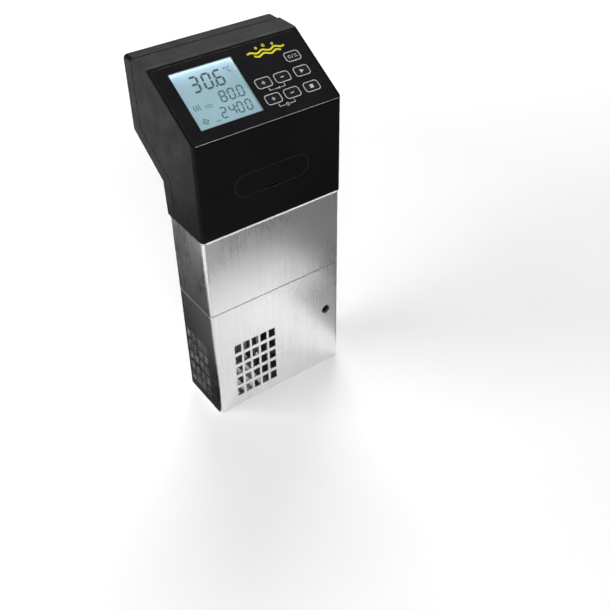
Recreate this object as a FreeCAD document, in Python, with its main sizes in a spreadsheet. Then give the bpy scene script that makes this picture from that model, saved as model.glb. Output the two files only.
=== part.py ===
"""Sous vide circulator: a black head with a sloping control panel on a brushed steel column.

Millimetres, +Z up. The origin is the centre of the column's bottom face, the front faces -Y.
Slope pieces use their own axes: x across, s up the slope from the front bend, n out of it.
A cut runs 1 mm or more past each face that it opens.
"""
import FreeCAD, Part
import math
import os
import re
import Sketcher

SIZES = {
    # head outline
    "head_width": 142.0,
    "total_height": 330.0,
    "head_bottom": 201.0,
    "column_depth": 57.0,
    "bend_height": 290.6,
    "slope_angle": 31.2,
    "head_back": 76.0,
    "knee_upper": 264.7,
    "knee_lower": 233.3,
    "knee_out": 1.3,
    "front_round": 3.2,
    "crown_round": 8.0,
    "back_round": 5.0,
    "wall": 2.5,
    "slope_wall": 4.0,
    "corner_lift": 0.53,
    # seam between the two shells
    "seam_upper_y": 60.0,
    "seam_upper_z": 270.0,
    "seam_lower_y": 16.0,
    "seam_lower_z": 240.0,
    "seam_gap": 0.9,
    "tongue_reach": 4.0,
    "tongue_wall": 1.5,
    "upper_screw_x": 63.2,
    "upper_screw_z": 319.0,
    "upper_seat": 74.0,
    "lower_screw_x": 65.0,
    "lower_screw_z": 230.5,
    "lower_seat": 27.8,
    "pilot_radius": 1.5,
    "screw_way": 1.8,
    "upper_tube": 4.3,
    "lower_tube": 3.2,
    "upper_sink": 3.1,
    "lower_sink": 3.0,
    "boss_outside": 69.0,
    "top_boss_inside": 57.0,
    "top_boss_front": 42.0,
    "top_boss_half": 6.0,
    "low_boss_inside": 62.2,
    "low_boss_front": -2.0,
    "low_boss_half": 4.5,
    # access cover on the front
    "cover_height": 241.2,
    "cover_reach": 26.3,
    "cover_radius": 9.7,
    "cover_gap": 0.4,
    "cover_plate": 1.5,
    "cover_shoulder": 2.2,
    "cover_play": 0.3,
    "cover_sunk": 0.1,
    "clip_reach": 0.8,
    "clip_thickness": 1.2,
    "notch_width": 11.0,
    "notch_depth": 1.6,
    # control panel, display and keys
    "panel_width": 136.6,
    "panel_low": 0.4,
    "panel_high": 73.4,
    "panel_thickness": 1.3,
    "panel_fit": 0.3,
    "panel_top_gap": 1.1,
    "panel_round": 2.0,
    "lcd_across": -27.75,
    "lcd_up": 38.7,
    "lcd_width": 56.5,
    "lcd_tall": 53.8,
    "lcd_fit": 0.2,
    "window_thickness": 1.0,
    "bezel_face": 0.6,
    "bezel_margin": 1.9,
    "bezel_top": 1.4,
    "bezel_bottom": 2.6,
    "module_margin": 1.0,
    "key_width": 14.6,
    "key_tall": 9.4,
    "key_round": 2.9,
    "key_fit": 0.3,
    "key_proud": 0.3,
    "key_flange": 0.8,
    "flange_top": 1.6,
    "flange_bottom": 2.1,
    "pocket_bottom": 2.8,
    "plunger_radius": 2.0,
    "plunger_bottom": 5.6,
    "plunger_fit": 0.5,
    "column_one": 14.0,
    "column_two": 32.3,
    "column_three": 51.8,
    "key_row_one": 18.1,
    "key_row_two": 34.3,
    "key_row_three": 49.7,
    "board_top": 10.8,
    "board_thickness": 1.6,
    "board_width": 129.0,
    "board_low": 4.5,
    "board_high": 73.0,
    "board_post_x": 61.0,
    "board_post_low": 7.5,
    "board_post_high": 70.0,
    "post_radius": 3.0,
    "board_screw": 1.1,
    "switch_size": 6.0,
    "switch_height": 3.4,
    "switch_button": 1.7,
    "switch_top": 6.3,
    # column
    "deck_thickness": 1.2,
    "deck_round": 4.0,
    "gasket_thickness": 0.8,
    "gasket_inset": 1.0,
    "casing_inset": 0.7,
    "casing_round": 3.0,
    "sheet": 1.0,
    "flange_width": 9.0,
    "deck_screw_x": 64.5,
    "deck_screw_y": 22.5,
    "deck_screw_way": 2.0,
    "skirt_top": 120.4,
    "skirt_gap": 0.9,
    "skirt_floor": 1.2,
    "collar_low": 106.0,
    "collar_high": 136.0,
    "collar_sheet": 1.2,
    "collar_inset": 1.8,
    "collar_round": 1.9,
    # holes in the skirt
    "hole_width": 7.2,
    "hole_tall": 9.6,
    "hole_pitch_x": 9.4,
    "hole_pitch_z": 13.6,
    "hole_first_x": -45.4,
    "hole_first_y": -10.1,
    "hole_first_z": 16.6,
    "hole_rows": 5,
    "outlet_x": 55.7,
    "outlet_z": 68.0,
    "outlet_radius": 4.75,
    "floor_slot_x": -52.0,
    "floor_slot_width": 4.0,
    "floor_slot_length": 34.0,
    "floor_slot_pitch": 9.0,
    # pump, shaft and motor
    "pump_x": 41.5,
    "pump_y": 3.0,
    "pump_radius": 18.5,
    "chamber_radius": 15.6,
    "pump_bottom": 58.0,
    "chamber_top": 75.0,
    "pump_top": 78.0,
    "pump_lid": 2.5,
    "inlet_radius": 7.0,
    "nozzle_radius": 5.3,
    "nozzle_bore": 4.2,
    "nozzle_end": -26.4,
    "impeller_radius": 13.0,
    "impeller_low": 61.0,
    "impeller_high": 72.0,
    "impeller_disc": 1.6,
    "hub_radius": 4.5,
    "blade_thickness": 1.4,
    "shaft_radius": 2.5,
    "running_gap": 0.05,
    "shaft_low": 60.0,
    "shaft_high": 209.0,
    "tube_radius": 7.0,
    "tube_bore": 5.0,
    "tube_flange": 13.0,
    "bush_length": 10.0,
    "coupling_radius": 6.0,
    "coupling_low": 203.0,
    "coupling_high": 215.5,
    "motor_radius": 20.0,
    "motor_low": 218.0,
    "motor_high": 262.0,
    "motor_wall": 1.5,
    "rotor_radius": 15.0,
    "rotor_low": 224.0,
    "rotor_high": 252.0,
    "bracket_plate": 2.0,
    "standoff_x": 16.0,
    "standoff_y": 18.0,
    "standoff_radius": 3.4,
    "standoff_margin": 4.0,
    "standoff_screw": 1.6,
    "bracket_round": 3.0,
    "tube_flange_thickness": 2.0,
    "drain_width": 4.0,
    "drain_low": 96.0,
    "drain_high": 110.0,
    "blade_start": 3.0,
    # heater, probe and float
    "tube_heater": 3.25,
    "heater_left": -54.0,
    "heater_bend": 9.0,
    "heater_y": 8.0,
    "heater_low": 24.0,
    "heater_mid": 95.0,
    "heater_high": 209.0,
    "nut_radius": 7.0,
    "nut_height": 5.0,
    "probe_x": -56.0,
    "probe_y": -12.0,
    "probe_radius": 2.5,
    "probe_low": 45.0,
    "probe_end": 12.0,
    "probe_collar": 4.0,
    "collar_height": 4.0,
    "stem_x": 12.0,
    "stem_y": -13.0,
    "stem_radius": 3.0,
    "stem_low": 88.0,
    "stem_stop": 5.0,
    "stem_top": 124.0,
    "stem_end": 10.0,
    "stop_height": 2.0,
    "stem_nut": 6.0,
    "float_rest": 0.05,
    "float_radius": 9.0,
    "float_height": 18.0,
    "float_gap": 0.08,
    # power electronics
    "power_left": -60.0,
    "power_right": 8.0,
    "power_y": 20.0,
    "power_low": 203.2,
    "power_high": 262.0,
    "rail_front": 3.4,
    "rail_back": 5.0,
    "rail_top": 207.0,
    "rail_slot_top": 208.0,
    "rail_play": 0.05,
    "coil_left": -58.0,
    "coil_right": -30.0,
    "coil_front": -1.0,
    "coil_low": 213.0,
    "coil_high": 233.0,
    "winding_inset": 5.0,
    "winding_swell": 3.0,
    "winding_front": -6.0,
    "relay_left": -24.0,
    "relay_right": -4.0,
    "relay_front": 3.0,
    "relay_low": 212.0,
    "relay_high": 230.0,
    "can_radius": 8.0,
    "can_x": -46.0,
    "can_z": 248.0,
    "can_front": -5.0,
    "sink_left": -60.0,
    "sink_right": -14.0,
    "sink_front": 30.0,
    "sink_plate": 4.0,
    "sink_low": 264.0,
    "sink_high": 290.0,
    "fin_back": 50.0,
    "fin_thickness": 1.6,
    # back face: fan, mains inlet, switch and fuse
    "back_z": 297.0,
    "fan_x": -33.5,
    "fan_size": 50.0,
    "fan_depth": 12.0,
    "fan_bore": 23.3,
    "fan_hub": 10.0,
    "fan_blade": 22.0,
    "strut": 1.5,
    "inlet_x": 22.0,
    "rocker_x": 52.0,
    "rocker_pivot": 72.5,
    "rocker_tilt": 8.0,
    "fuse_z": 274.5,
    "fan_round": 3.0,
    "fan_play": 0.5,
    "strut_half": 1.5,
    "strut_reach": 24.0,
    "axle_radius": 1.5,
    "axle_depth": 3.0,
    "blade_half": 4.2,
    "blade_root": 9.0,
    "blade_angle": 40.0,
    "blade_half_thickness": 0.6,
    "slot_reach": 20.0,
    "slot_tall": 3.4,
    "slot_first": 20.3,
    "slot_pitch": 6.2,
    "louvre_width": 4.0,
    "louvre_first": -52.0,
    "louvre_pitch": 10.0,
    "louvre_front": 38.0,
    "louvre_back": 66.0,
    "louvre_low": 230.0,
    "louvre_high": 266.0,
    "inlet_flange_x": 15.5,
    "inlet_flange_z": 12.0,
    "inlet_flange": 2.0,
    "inlet_round": 2.5,
    "inlet_case_x": 13.4,
    "inlet_case_z": 9.7,
    "inlet_case": 18.0,
    "inlet_mouth_x": 12.0,
    "inlet_mouth_z": 8.1,
    "inlet_mouth": 15.0,
    "inlet_play": 0.3,
    "pin_width": 2.0,
    "pin_tall": 4.0,
    "pin_length": 13.0,
    "pin_side": 7.0,
    "pin_drop": 4.0,
    "bezel_x": 10.0,
    "bezel_z": 14.0,
    "bezel_flange": 1.6,
    "bezel_round": 2.0,
    "switch_case_x": 7.0,
    "switch_case_z": 10.8,
    "switch_case": 14.0,
    "switch_mouth_x": 6.3,
    "switch_mouth_z": 10.0,
    "switch_mouth": 11.5,
    "switch_play": 0.2,
    "pivot_radius": 1.0,
    "pivot_reach": 6.7,
    "pivot_play": 0.1,
    "rocker_width": 12.0,
    "fuse_bore": 6.1,
    "fuse_flange": 7.5,
    "fuse_flange_out": 1.5,
    "fuse_knob": 6.0,
    "fuse_knob_out": 5.0,
    "fuse_case": 5.9,
    "fuse_depth": 22.0,
    "coin_slot_x": 4.5,
    "coin_slot_z": 0.7,
    "coin_slot_depth": 1.2,
    # clamp
    "clamp_width": 50.0,
    "clamp_plate": 3.0,
    "clamp_low": 128.0,
    "clamp_foot": 158.0,
    "clamp_top": 194.0,
    "clamp_leg": 60.0,
    "clamp_screw_z": 140.0,
    "clamp_screw_radius": 4.0,
    "clamp_boss": 8.0,
    "clamp_boss_end": 65.5,
    "clamp_face": 41.0,
    "clamp_pad_radius": 10.0,
    "clamp_tip": 46.5,
    "clamp_bend": 3.0,
    "foot_round": 4.0,
    "clamp_screw_way": 2.1,
    "clamp_screw_x": 15.0,
    "clamp_row_low": 168.0,
    "clamp_row_high": 183.0,
    "spindle_tip": 2.5,
    "spindle_tip_length": 3.0,
    "knob_wall": 4.0,
    "groove_radius": 4.5,
    "groove_offset": 2.0,
    "pad_thickness": 2.3,
    "pad_socket": 5.0,
    "socket_floor": 2.0,
    "socket_play": 0.4,
    "rest_half_width": 15.0,
    "rest_half_height": 10.0,
    "rest_thickness": 2.0,
    "knob_start": 76.5,
    "knob_end": 92.0,
    "knob_radius": 15.0,
}

doc = FreeCAD.newDocument("SousVideCirculator")
sheet = doc.addObject("Spreadsheet::Sheet", "Sizes")
for row, (alias, value) in enumerate(SIZES.items(), start=1):
    sheet.set(f"A{row}", alias)
    sheet.set(f"B{row}", str(value))
    sheet.setAlias(f"B{row}", alias)
doc.recompute()

PARTS = []

UP = FreeCAD.Rotation()
BACKWARDS = FreeCAD.Rotation(FreeCAD.Vector(1, 0, 0), -90)
SIDEWAYS = FreeCAD.Rotation(FreeCAD.Vector(0, 1, 0), 90)
SLOPED = FreeCAD.Rotation(FreeCAD.Vector(1, 0, 0), sheet.slope_angle)
UNDER_SLOPE = FreeCAD.Rotation(FreeCAD.Vector(1, 0, 0), sheet.slope_angle + 180)

CROWN_Y = "(total_height - bend_height) / tan(slope_angle) - column_depth / 2"
CASING_X = "head_width / 2 - casing_inset"
CASING_Y = "column_depth / 2 - casing_inset"
CASING_TOP = "head_bottom - deck_thickness - gasket_thickness"
# head (radius, height) and shank (radius, length) of each kind of screw
BOARD_SCREW = (2.2, 1.6), (1.1, 7)
COVER_SCREW = (2.8, 1.7), (1.5, 26)
CLAMP_SCREW = (3.6, 2.2), (2, 9)
DECK_SCREW = (2.9, 1.8), (2, 6)
KEYS = {
    "key_set": ("column_three", "key_row_three"),
    "key_start": ("column_three", "key_row_two"),
    "key_stop": ("column_three", "key_row_one"),
    "key_temp_up": ("column_one", "key_row_two"),
    "key_temp_down": ("column_two", "key_row_two"),
    "key_time_up": ("column_one", "key_row_one"),
    "key_time_down": ("column_two", "key_row_one"),
}


# ---- small tools -------------------------------------------------------------------------------

def bound(size):
    """Write a size given in the sheet's words as a FreeCAD expression."""
    def word(found):
        name = found.group(0)
        return f"Sizes.{name}" if name in SIZES else name
    return re.sub(r"[a-z]\w*", word, str(size))


def bind(thing, **sizes):
    """Bind properties of an object to sizes."""
    for prop, size in sizes.items():
        thing.setExpression(prop, bound(size))


def on_slope(across, up, out):
    """Turn slope coordinates into the part's own coordinates."""
    back = f"({up}) * cos(slope_angle) - ({out}) * sin(slope_angle) - column_depth / 2"
    high = f"bend_height + ({up}) * sin(slope_angle) + ({out}) * cos(slope_angle)"
    return across, back, high


def put(thing, at, turn=UP):
    """Place an object, with its base bound to sizes."""
    thing.Placement = FreeCAD.Placement(FreeCAD.Vector(), turn)
    for axis, size in zip("xyz", on_slope(*at) if turn == SLOPED else at):
        thing.setExpression(f"Placement.Base.{axis}", bound(size))


def sub_part(label, at=None, turn=UP):
    """Start a sub-part as a PartDesign body, with its own place when one is given."""
    body = doc.addObject("PartDesign::Body", label)
    body.Label = label
    if at:
        put(body, at, turn)
    PARTS.append(body)
    return body


def feature(body, kind, name):
    return body.newObject(f"PartDesign::{kind}", f"{body.Name}_{name}")


def block(body, name, x, y, z, cut=False, turn=UP):
    """Add or cut a box given by its low and high side on each axis."""
    box = feature(body, "SubtractiveBox" if cut else "AdditiveBox", name)
    spans = [f"({high}) - ({low})" for low, high in (x, y, z)]
    bind(box, Length=spans[0], Width=spans[1], Height=spans[2])
    put(box, (x[0], y[0], z[0]), turn)
    return box


def both(half):
    """The span from minus half to plus half."""
    return f"-({half})", half


def rod(body, name, radius, at, along, axis="z", cut=False, turn=UP):
    """Add or cut a cylinder that runs along one axis, at the two other coordinates."""
    cylinder = feature(body, "SubtractiveCylinder" if cut else "AdditiveCylinder", name)
    bind(cylinder, Radius=radius, Height=f"({along[1]}) - ({along[0]})")
    if axis == "z":
        put(cylinder, (at[0], at[1], along[0]), turn)
    elif axis == "y":
        put(cylinder, (at[0], along[0], at[1]), BACKWARDS)
    else:
        put(cylinder, (along[0], at[0], at[1]), SIDEWAYS)
    return cylinder


def side_profile(body, name, points):
    """Draw a closed outline on the YZ plane, with every corner bound to the sheet."""
    sketch = body.newObject("Sketcher::SketchObject", f"{body.Name}_{name}_outline")
    plane = next(item for item in body.Origin.OriginFeatures if item.Role == "YZ_Plane")
    sketch.AttachmentSupport = [(plane, "")]
    sketch.MapMode = "FlatFace"
    count = len(points)
    for index in range(count):
        turns = [2 * math.pi * step / count for step in (index, index + 1)]
        ends = [FreeCAD.Vector(math.cos(turn), math.sin(turn), 0) for turn in turns]
        sketch.addGeometry(Part.LineSegment(*ends), False)
    for index in range(count):
        sketch.addConstraint(Sketcher.Constraint("Coincident", index, 2, (index + 1) % count, 1))
    for index, point in enumerate(points):
        for kind, size in zip(("DistanceX", "DistanceY"), point):
            number = sketch.addConstraint(Sketcher.Constraint(kind, -1, 1, index, 1, 1.0))
            sketch.setExpression(f"Constraints[{number}]", bound(size))
    return sketch


def prism(body, name, points, width, cut=False):
    """Pad or pocket a side outline evenly to both sides of the middle plane."""
    solid = feature(body, "Pocket" if cut else "Pad", name)
    solid.Profile = side_profile(body, name, points)
    solid.Midplane = True
    bind(solid, Length=width)
    return solid


def round_edges(body, name, radius, wanted):
    """Fillet the straight edges that wanted(middle, direction) accepts."""
    doc.recompute()
    tip = body.Tip
    chosen = []
    for number, edge in enumerate(tip.Shape.Edges, start=1):
        if edge.Curve.TypeId == "Part::GeomLine":
            if wanted(edge.CenterOfMass, edge.tangentAt(edge.FirstParameter)):
                chosen.append(f"Edge{number}")
    fillet = feature(body, "Fillet", name)
    fillet.Base = (tip, chosen)
    bind(fillet, Radius=radius)
    return fillet


def upright(middle, direction):
    return abs(direction.z) > 0.999


def axis_of(body, letter):
    role = f"{letter.upper()}_Axis"
    return next(item for item in body.Origin.OriginFeatures if item.Role == role), [""]


def straight_row(pattern, body, axis, length, count):
    pattern.Direction = axis_of(body, axis)
    bind(pattern, Length=length)
    pattern.Occurrences = count


def repeat(body, name, original, rows):
    """Repeat a feature in one or two straight rows, each given as (axis, length, count)."""
    if len(rows) == 1:
        pattern = feature(body, "LinearPattern", name)
        straight_row(pattern, body, *rows[0])
    else:
        pattern = feature(body, "MultiTransform", name)
        steps = [doc.addObject("PartDesign::LinearPattern", f"{pattern.Name}_{row[0]}") for row in rows]
        for step, row in zip(steps, rows):
            straight_row(step, body, *row)
        pattern.Transformations = steps
    pattern.Originals = [original]
    body.Tip = pattern


def ring_of(body, name, original, count):
    """Repeat a feature evenly round the body's Z axis."""
    pattern = feature(body, "PolarPattern", name)
    pattern.Axis = axis_of(body, "z")
    pattern.Angle = 360
    pattern.Occurrences = count
    pattern.Originals = [original]
    body.Tip = pattern


def solid(kind, name, at, turn=UP, **sizes):
    """Make a Part primitive with bound sizes."""
    thing = doc.addObject(f"Part::{kind}", name)
    if "Polygon" in sizes:
        thing.Polygon = sizes.pop("Polygon")
    bind(thing, **sizes)
    put(thing, at, turn)
    return thing


def joined(label, pieces, listed=True):
    """Fuse Part solids into one piece."""
    fuse = doc.addObject("Part::MultiFuse", label)
    fuse.Label = label
    fuse.Shapes = pieces
    if listed:
        PARTS.append(fuse)
    return fuse


def group(label, pieces):
    """Keep identical separate solids together in one sub-part."""
    compound = doc.addObject("Part::Compound", label)
    compound.Label = label
    compound.Links = pieces
    PARTS.append(compound)
    return compound


def screw(name, at, turn, head, shank):
    """A socket screw: head = (radius, height) along the turned Z axis, shank = (radius, length) against it."""
    axis = turn.multVec(FreeCAD.Vector(0, 0, 1))

    def moved(along):
        return [f"({size}) + ({part * along})" for size, part in zip(at, axis)]

    socket_depth = 0.6 * head[1]
    blank = doc.addObject("Part::Fuse", f"{name}_blank")
    blank.Base = solid("Cylinder", f"{name}_head", at, turn, Radius=head[0], Height=head[1])
    blank.Tool = solid("Cylinder", f"{name}_shank", moved(-shank[1]), turn, Radius=shank[0], Height=shank[1])
    whole = doc.addObject("Part::Cut", name)
    whole.Base = blank
    whole.Tool = solid("Prism", f"{name}_socket", moved(head[1] - socket_depth), turn,
                       Polygon=6, Circumradius=head[0] * 0.5, Height=socket_depth)
    return whole


# ---- head shells -------------------------------------------------------------------------------

def stadium(body, name, radius, depth, cut=True):
    """Add or cut an oblong with round ends on the head's front, between two depths behind it."""
    y = [f"{size} - column_depth / 2" for size in depth]
    z = (f"cover_height - ({radius})", f"cover_height + ({radius})")
    block(body, f"{name}_middle", ("-cover_reach", "cover_reach"), y, z, cut)
    for side in ("-", ""):
        rod(body, f"{name}_end{len(side)}", radius, (f"{side}cover_reach", "cover_height"), y, "y", cut)


def front_housing():
    body = sub_part("front_housing")
    front = "-column_depth / 2"
    prism(body, "shell", [
        (front, "head_bottom"),
        (front, "bend_height"),
        (CROWN_Y, "total_height"),
        ("seam_upper_y", "total_height"),
        ("seam_upper_y", "seam_upper_z"),
        ("seam_lower_y", "seam_lower_z"),
        ("seam_lower_y", "head_bottom"),
    ], "head_width")
    round_edges(body, "front_edges", "front_round",
                lambda middle, way: upright(middle, way) and middle.y < -sheet.column_depth / 2 + 0.1)
    round_edges(body, "crown", "crown_round",
                lambda middle, way: abs(way.x) > 0.999 and middle.z > sheet.total_height - 0.1
                and middle.y < sheet.seam_upper_y - 1)
    inner_front = "wall - column_depth / 2"
    inner_bend = "bend_height + (wall * sin(slope_angle) - slope_wall) / cos(slope_angle)"
    inner_crown = f"{CROWN_Y} + (slope_wall - wall * cos(slope_angle)) / sin(slope_angle)"
    prism(body, "hollow", [
        (inner_front, "head_bottom - 1"),
        (inner_front, inner_bend),
        (inner_crown, "total_height - wall"),
        ("seam_upper_y + 1", "total_height - wall"),
        ("seam_upper_y + 1", "head_bottom - 1"),
    ], "head_width - 2 * wall", cut=True)

    # bosses behind the slope for the control board, and at the seam for the cover screws
    post_low = "-board_top"
    for side in ("-", ""):
        for level in ("low", "high"):
            rod(body, f"post_{level}{len(side)}", "post_radius", (f"{side}board_post_x", f"board_post_{level}"),
                (post_low, "0.5 - slope_wall"), turn=SLOPED)
    for side in (-1, 1):
        across = [f"{side} * {size}" for size in ("top_boss_inside", "boss_outside")][::side]
        block(body, f"top_boss{side + 1}", across, ("top_boss_front", "seam_upper_y - tongue_reach - 0.5"),
              ("upper_screw_z - top_boss_half", "total_height - 2"))
        across = [f"{side} * {size}" for size in ("low_boss_inside", "boss_outside")][::side]
        block(body, f"low_boss{side + 1}", across, ("low_boss_front", "seam_lower_y - tongue_reach - 0.5"),
              ("lower_screw_z - low_boss_half", "lower_screw_z + low_boss_half"))
        rod(body, f"top_pilot{side + 1}", "pilot_radius", (f"{side} * upper_screw_x", "upper_screw_z"),
            ("top_boss_front + 2", "seam_upper_y + 1"), "y", cut=True)
        rod(body, f"low_pilot{side + 1}", "pilot_radius", (f"{side} * lower_screw_x", "lower_screw_z"),
            ("low_boss_front + 2", "seam_lower_y + 1"), "y", cut=True)

    # step and opening for the access cover
    stadium(body, "cover_step", "cover_radius + cover_gap", ("-1", "cover_plate + cover_sunk"))
    stadium(body, "cover_hole", "cover_radius - cover_shoulder + cover_play", ("-1", "wall + 1"))

    # seat for the control panel, window for the display, pockets and holes for the keys
    half = "panel_width / 2 + panel_fit"
    block(body, "panel_seat", (f"-({half})", half), (-3, "panel_high + panel_top_gap"),
          ("-panel_thickness", 6), cut=True, turn=SLOPED)
    half = "lcd_width / 2 + bezel_margin + 0.3"
    tall = "lcd_tall / 2 + bezel_margin + 0.3"
    block(body, "lcd_hole", (f"lcd_across - ({half})", f"lcd_across + {half}"),
          (f"lcd_up - ({tall})", f"lcd_up + {tall}"), ("-slope_wall - 1", 0), cut=True, turn=SLOPED)
    for key, (across, up) in KEYS.items():
        half = "key_width / 2 + key_fit"
        tall = "key_tall / 2 + key_flange + key_fit"
        block(body, f"{key}_pocket", (f"{across} - ({half})", f"{across} + {half}"),
              (f"{up} - ({tall})", f"{up} + {tall}"), ("-pocket_bottom", 0), cut=True, turn=SLOPED)
        rod(body, f"{key}_hole", "plunger_radius + plunger_fit", (across, up),
            ("-slope_wall - 1", 0), cut=True, turn=SLOPED)
    for side in ("-", ""):
        for level in ("low", "high"):
            rod(body, f"pilot_{level}{len(side)}", "board_screw + 0.05",
                (f"{side}board_post_x", f"board_post_{level}"), ("-board_top - 1", -5), cut=True, turn=SLOPED)


def rear_cover():
    body = sub_part("rear_cover")
    drop = "corner_lift * seam_gap"
    prism(body, "shell", [
        ("seam_upper_y + seam_gap", "total_height"),
        ("head_back", "total_height"),
        ("head_back", "knee_upper"),
        ("column_depth / 2 + knee_out", "knee_lower"),
        ("column_depth / 2", "head_bottom"),
        ("seam_lower_y + seam_gap", "head_bottom"),
        ("seam_lower_y + seam_gap", f"seam_lower_z - {drop}"),
        ("seam_upper_y + seam_gap", f"seam_upper_z - {drop}"),
    ], "head_width")
    round_edges(body, "back_top", "back_round",
                lambda middle, way: abs(way.x) > 0.999 and middle.z > sheet.total_height - 0.1
                and middle.y > sheet.head_back - 0.1)
    round_edges(body, "back_sides", "front_round",
                lambda middle, way: upright(middle, way) and middle.y > sheet.head_back - 0.1)
    lift = "corner_lift * wall"
    prism(body, "hollow", [
        (-10, "head_bottom - 1"),
        ("column_depth / 2 - wall", "head_bottom - 1"),
        ("column_depth / 2 + knee_out - wall", f"knee_lower + {lift}"),
        ("head_back - wall", f"knee_upper + {lift}"),
        ("head_back - wall", "total_height - wall"),
        (-10, "total_height - wall"),
    ], "head_width - 2 * wall", cut=True)

    # tongue that closes the seam from inside
    def tongue(top, foot):
        ahead = ("tongue_reach", "corner_lift * tongue_reach")
        return [
            (f"seam_lower_y - {ahead[0]}", foot),
            (f"seam_lower_y - {ahead[0]}", f"seam_lower_z + {ahead[1]}"),
            (f"seam_upper_y - {ahead[0]}", f"seam_upper_z + {ahead[1]}"),
            (f"seam_upper_y - {ahead[0]}", top),
            (f"seam_upper_y + {ahead[0]}", top),
            (f"seam_upper_y + {ahead[0]}", f"seam_upper_z - {ahead[1]}"),
            (f"seam_lower_y + {ahead[0]}", f"seam_lower_z - {ahead[1]}"),
            (f"seam_lower_y + {ahead[0]}", foot),
        ]
    prism(body, "tongue", tongue("total_height - wall", "head_bottom"), "head_width - 2 * wall")
    prism(body, "tongue_hollow", tongue("total_height - wall - tongue_wall", "head_bottom - 1"),
          "head_width - 2 * wall - 2 * tongue_wall", cut=True)

    # screw tubes
    for side in (-1, 1):
        upper = (f"{side} * upper_screw_x", "upper_screw_z")
        lower = (f"{side} * lower_screw_x", "lower_screw_z")
        rod(body, f"top_tube{side + 1}", "upper_tube", upper,
            ("seam_upper_y - tongue_reach", "head_back - 1"), "y")
        rod(body, f"low_tube{side + 1}", "lower_tube", lower,
            ("seam_lower_y - tongue_reach", "lower_seat"), "y")
        rod(body, f"top_way{side + 1}", "screw_way", upper, ("seam_upper_y - 10", "head_back + 2"), "y",
            cut=True)
        rod(body, f"low_way{side + 1}", "screw_way", lower, ("seam_lower_y - 6", "column_depth / 2 + 3.5"), "y",
            cut=True)
        rod(body, f"top_sink{side + 1}", "upper_sink", upper, ("upper_seat", "head_back + 2"), "y", cut=True)
        rod(body, f"low_sink{side + 1}", "lower_sink", lower, ("lower_seat", "column_depth / 2 + 3.5"), "y",
            cut=True)

    # openings in the back face, and louvres in the slanted underside
    back = ("head_back - wall - 0.5", "head_back + 1")
    x, z = "inlet_case_x + inlet_play", "inlet_case_z + inlet_play"
    block(body, "inlet_hole", (f"inlet_x - ({x})", f"inlet_x + {x}"), back,
          (f"back_z - ({z})", f"back_z + {z}"), cut=True)
    x, z = "switch_case_x + switch_play", "switch_case_z + switch_play"
    block(body, "switch_hole", (f"rocker_x - ({x})", f"rocker_x + {x}"), back,
          (f"back_z - ({z})", f"back_z + {z}"), cut=True)
    rod(body, "fuse_hole", "fuse_bore", ("inlet_x", "fuse_z"), back, "y", cut=True)
    slot = block(body, "fan_slot", ("fan_x - slot_reach", "fan_x + slot_reach"), back,
                 ("back_z - slot_first", "back_z - slot_first + slot_tall"), cut=True)
    repeat(body, "fan_slots", slot, [("z", "slot_pitch * 6", 7)])
    louvre = block(body, "louvre", ("louvre_first", "louvre_first + louvre_width"),
                   ("louvre_front", "louvre_back"), ("louvre_low", "louvre_high"), cut=True)
    repeat(body, "louvres", louvre, [("x", "louvre_pitch * 10", 11)])


def access_cover():
    body = sub_part("access_cover")
    stadium(body, "plate", "cover_radius", ("cover_sunk", "cover_sunk + cover_plate"), cut=False)
    stadium(body, "step", "cover_radius - cover_shoulder", ("cover_plate", "wall + 2 * cover_sunk"), cut=False)
    front = "-column_depth / 2"
    inside = f"wall + cover_sunk + {front}"
    for side in (-1, 1):
        rod(body, f"clip{side + 1}", "cover_radius - cover_shoulder + clip_reach",
            (f"{side} * cover_reach", "cover_height"), (inside, f"{inside} + clip_thickness"), "y")
    block(body, "notch", both("notch_width / 2"), (f"{front} - 1", f"{front} + 1.2"),
          ("cover_height - cover_radius - 1", "cover_height - cover_radius + notch_depth"), cut=True)


# ---- control panel, display and keys -----------------------------------------------------------

def control_panel():
    body = sub_part("control_panel", (0, 0, 0), SLOPED)
    block(body, "sheet", ("-panel_width / 2", "panel_width / 2"), ("panel_low", "panel_high"),
          ("-panel_thickness", 0))
    block(body, "window", ("lcd_across - lcd_width / 2 - lcd_fit", "lcd_across + lcd_width / 2 + lcd_fit"),
          ("lcd_up - lcd_tall / 2 - lcd_fit", "lcd_up + lcd_tall / 2 + lcd_fit"), (-3, 1), cut=True)
    for key, (across, up) in KEYS.items():
        half, tall = "key_width / 2 + key_fit", "key_tall / 2 + key_fit"
        block(body, f"{key}_hole", (f"{across} - ({half})", f"{across} + {half}"),
              (f"{up} - ({tall})", f"{up} + {tall}"), (-3, 1), cut=True)
    window_edge = sheet.lcd_across + sheet.lcd_width / 2 + 1
    round_edges(body, "key_corners", "key_round + key_fit",
                lambda middle, way: upright(middle, way) and window_edge < middle.x < sheet.panel_width / 2 - 1)
    round_edges(body, "corners", "panel_round",
                lambda middle, way: upright(middle, way) and abs(middle.x) > sheet.panel_width / 2 - 0.1)


def lcd_window():
    body = sub_part("lcd_window", ("lcd_across", "lcd_up", 0), SLOPED)
    block(body, "pane", ("-lcd_width / 2", "lcd_width / 2"), ("-lcd_tall / 2", "lcd_tall / 2"),
          ("-window_thickness - 0.1", -0.1))


def lcd_bezel():
    body = sub_part("lcd_bezel", ("lcd_across", "lcd_up", 0), SLOPED)
    levels = ("-bezel_bottom", "-bezel_top")
    block(body, "frame", ("-lcd_width / 2 - bezel_margin", "lcd_width / 2 + bezel_margin"),
          ("-lcd_tall / 2 - bezel_margin", "lcd_tall / 2 + bezel_margin"), levels)
    block(body, "view", ("bezel_face - lcd_width / 2", "lcd_width / 2 - bezel_face"),
          ("bezel_face - lcd_tall / 2", "lcd_tall / 2 - bezel_face"), (-4, 0), cut=True)


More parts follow.
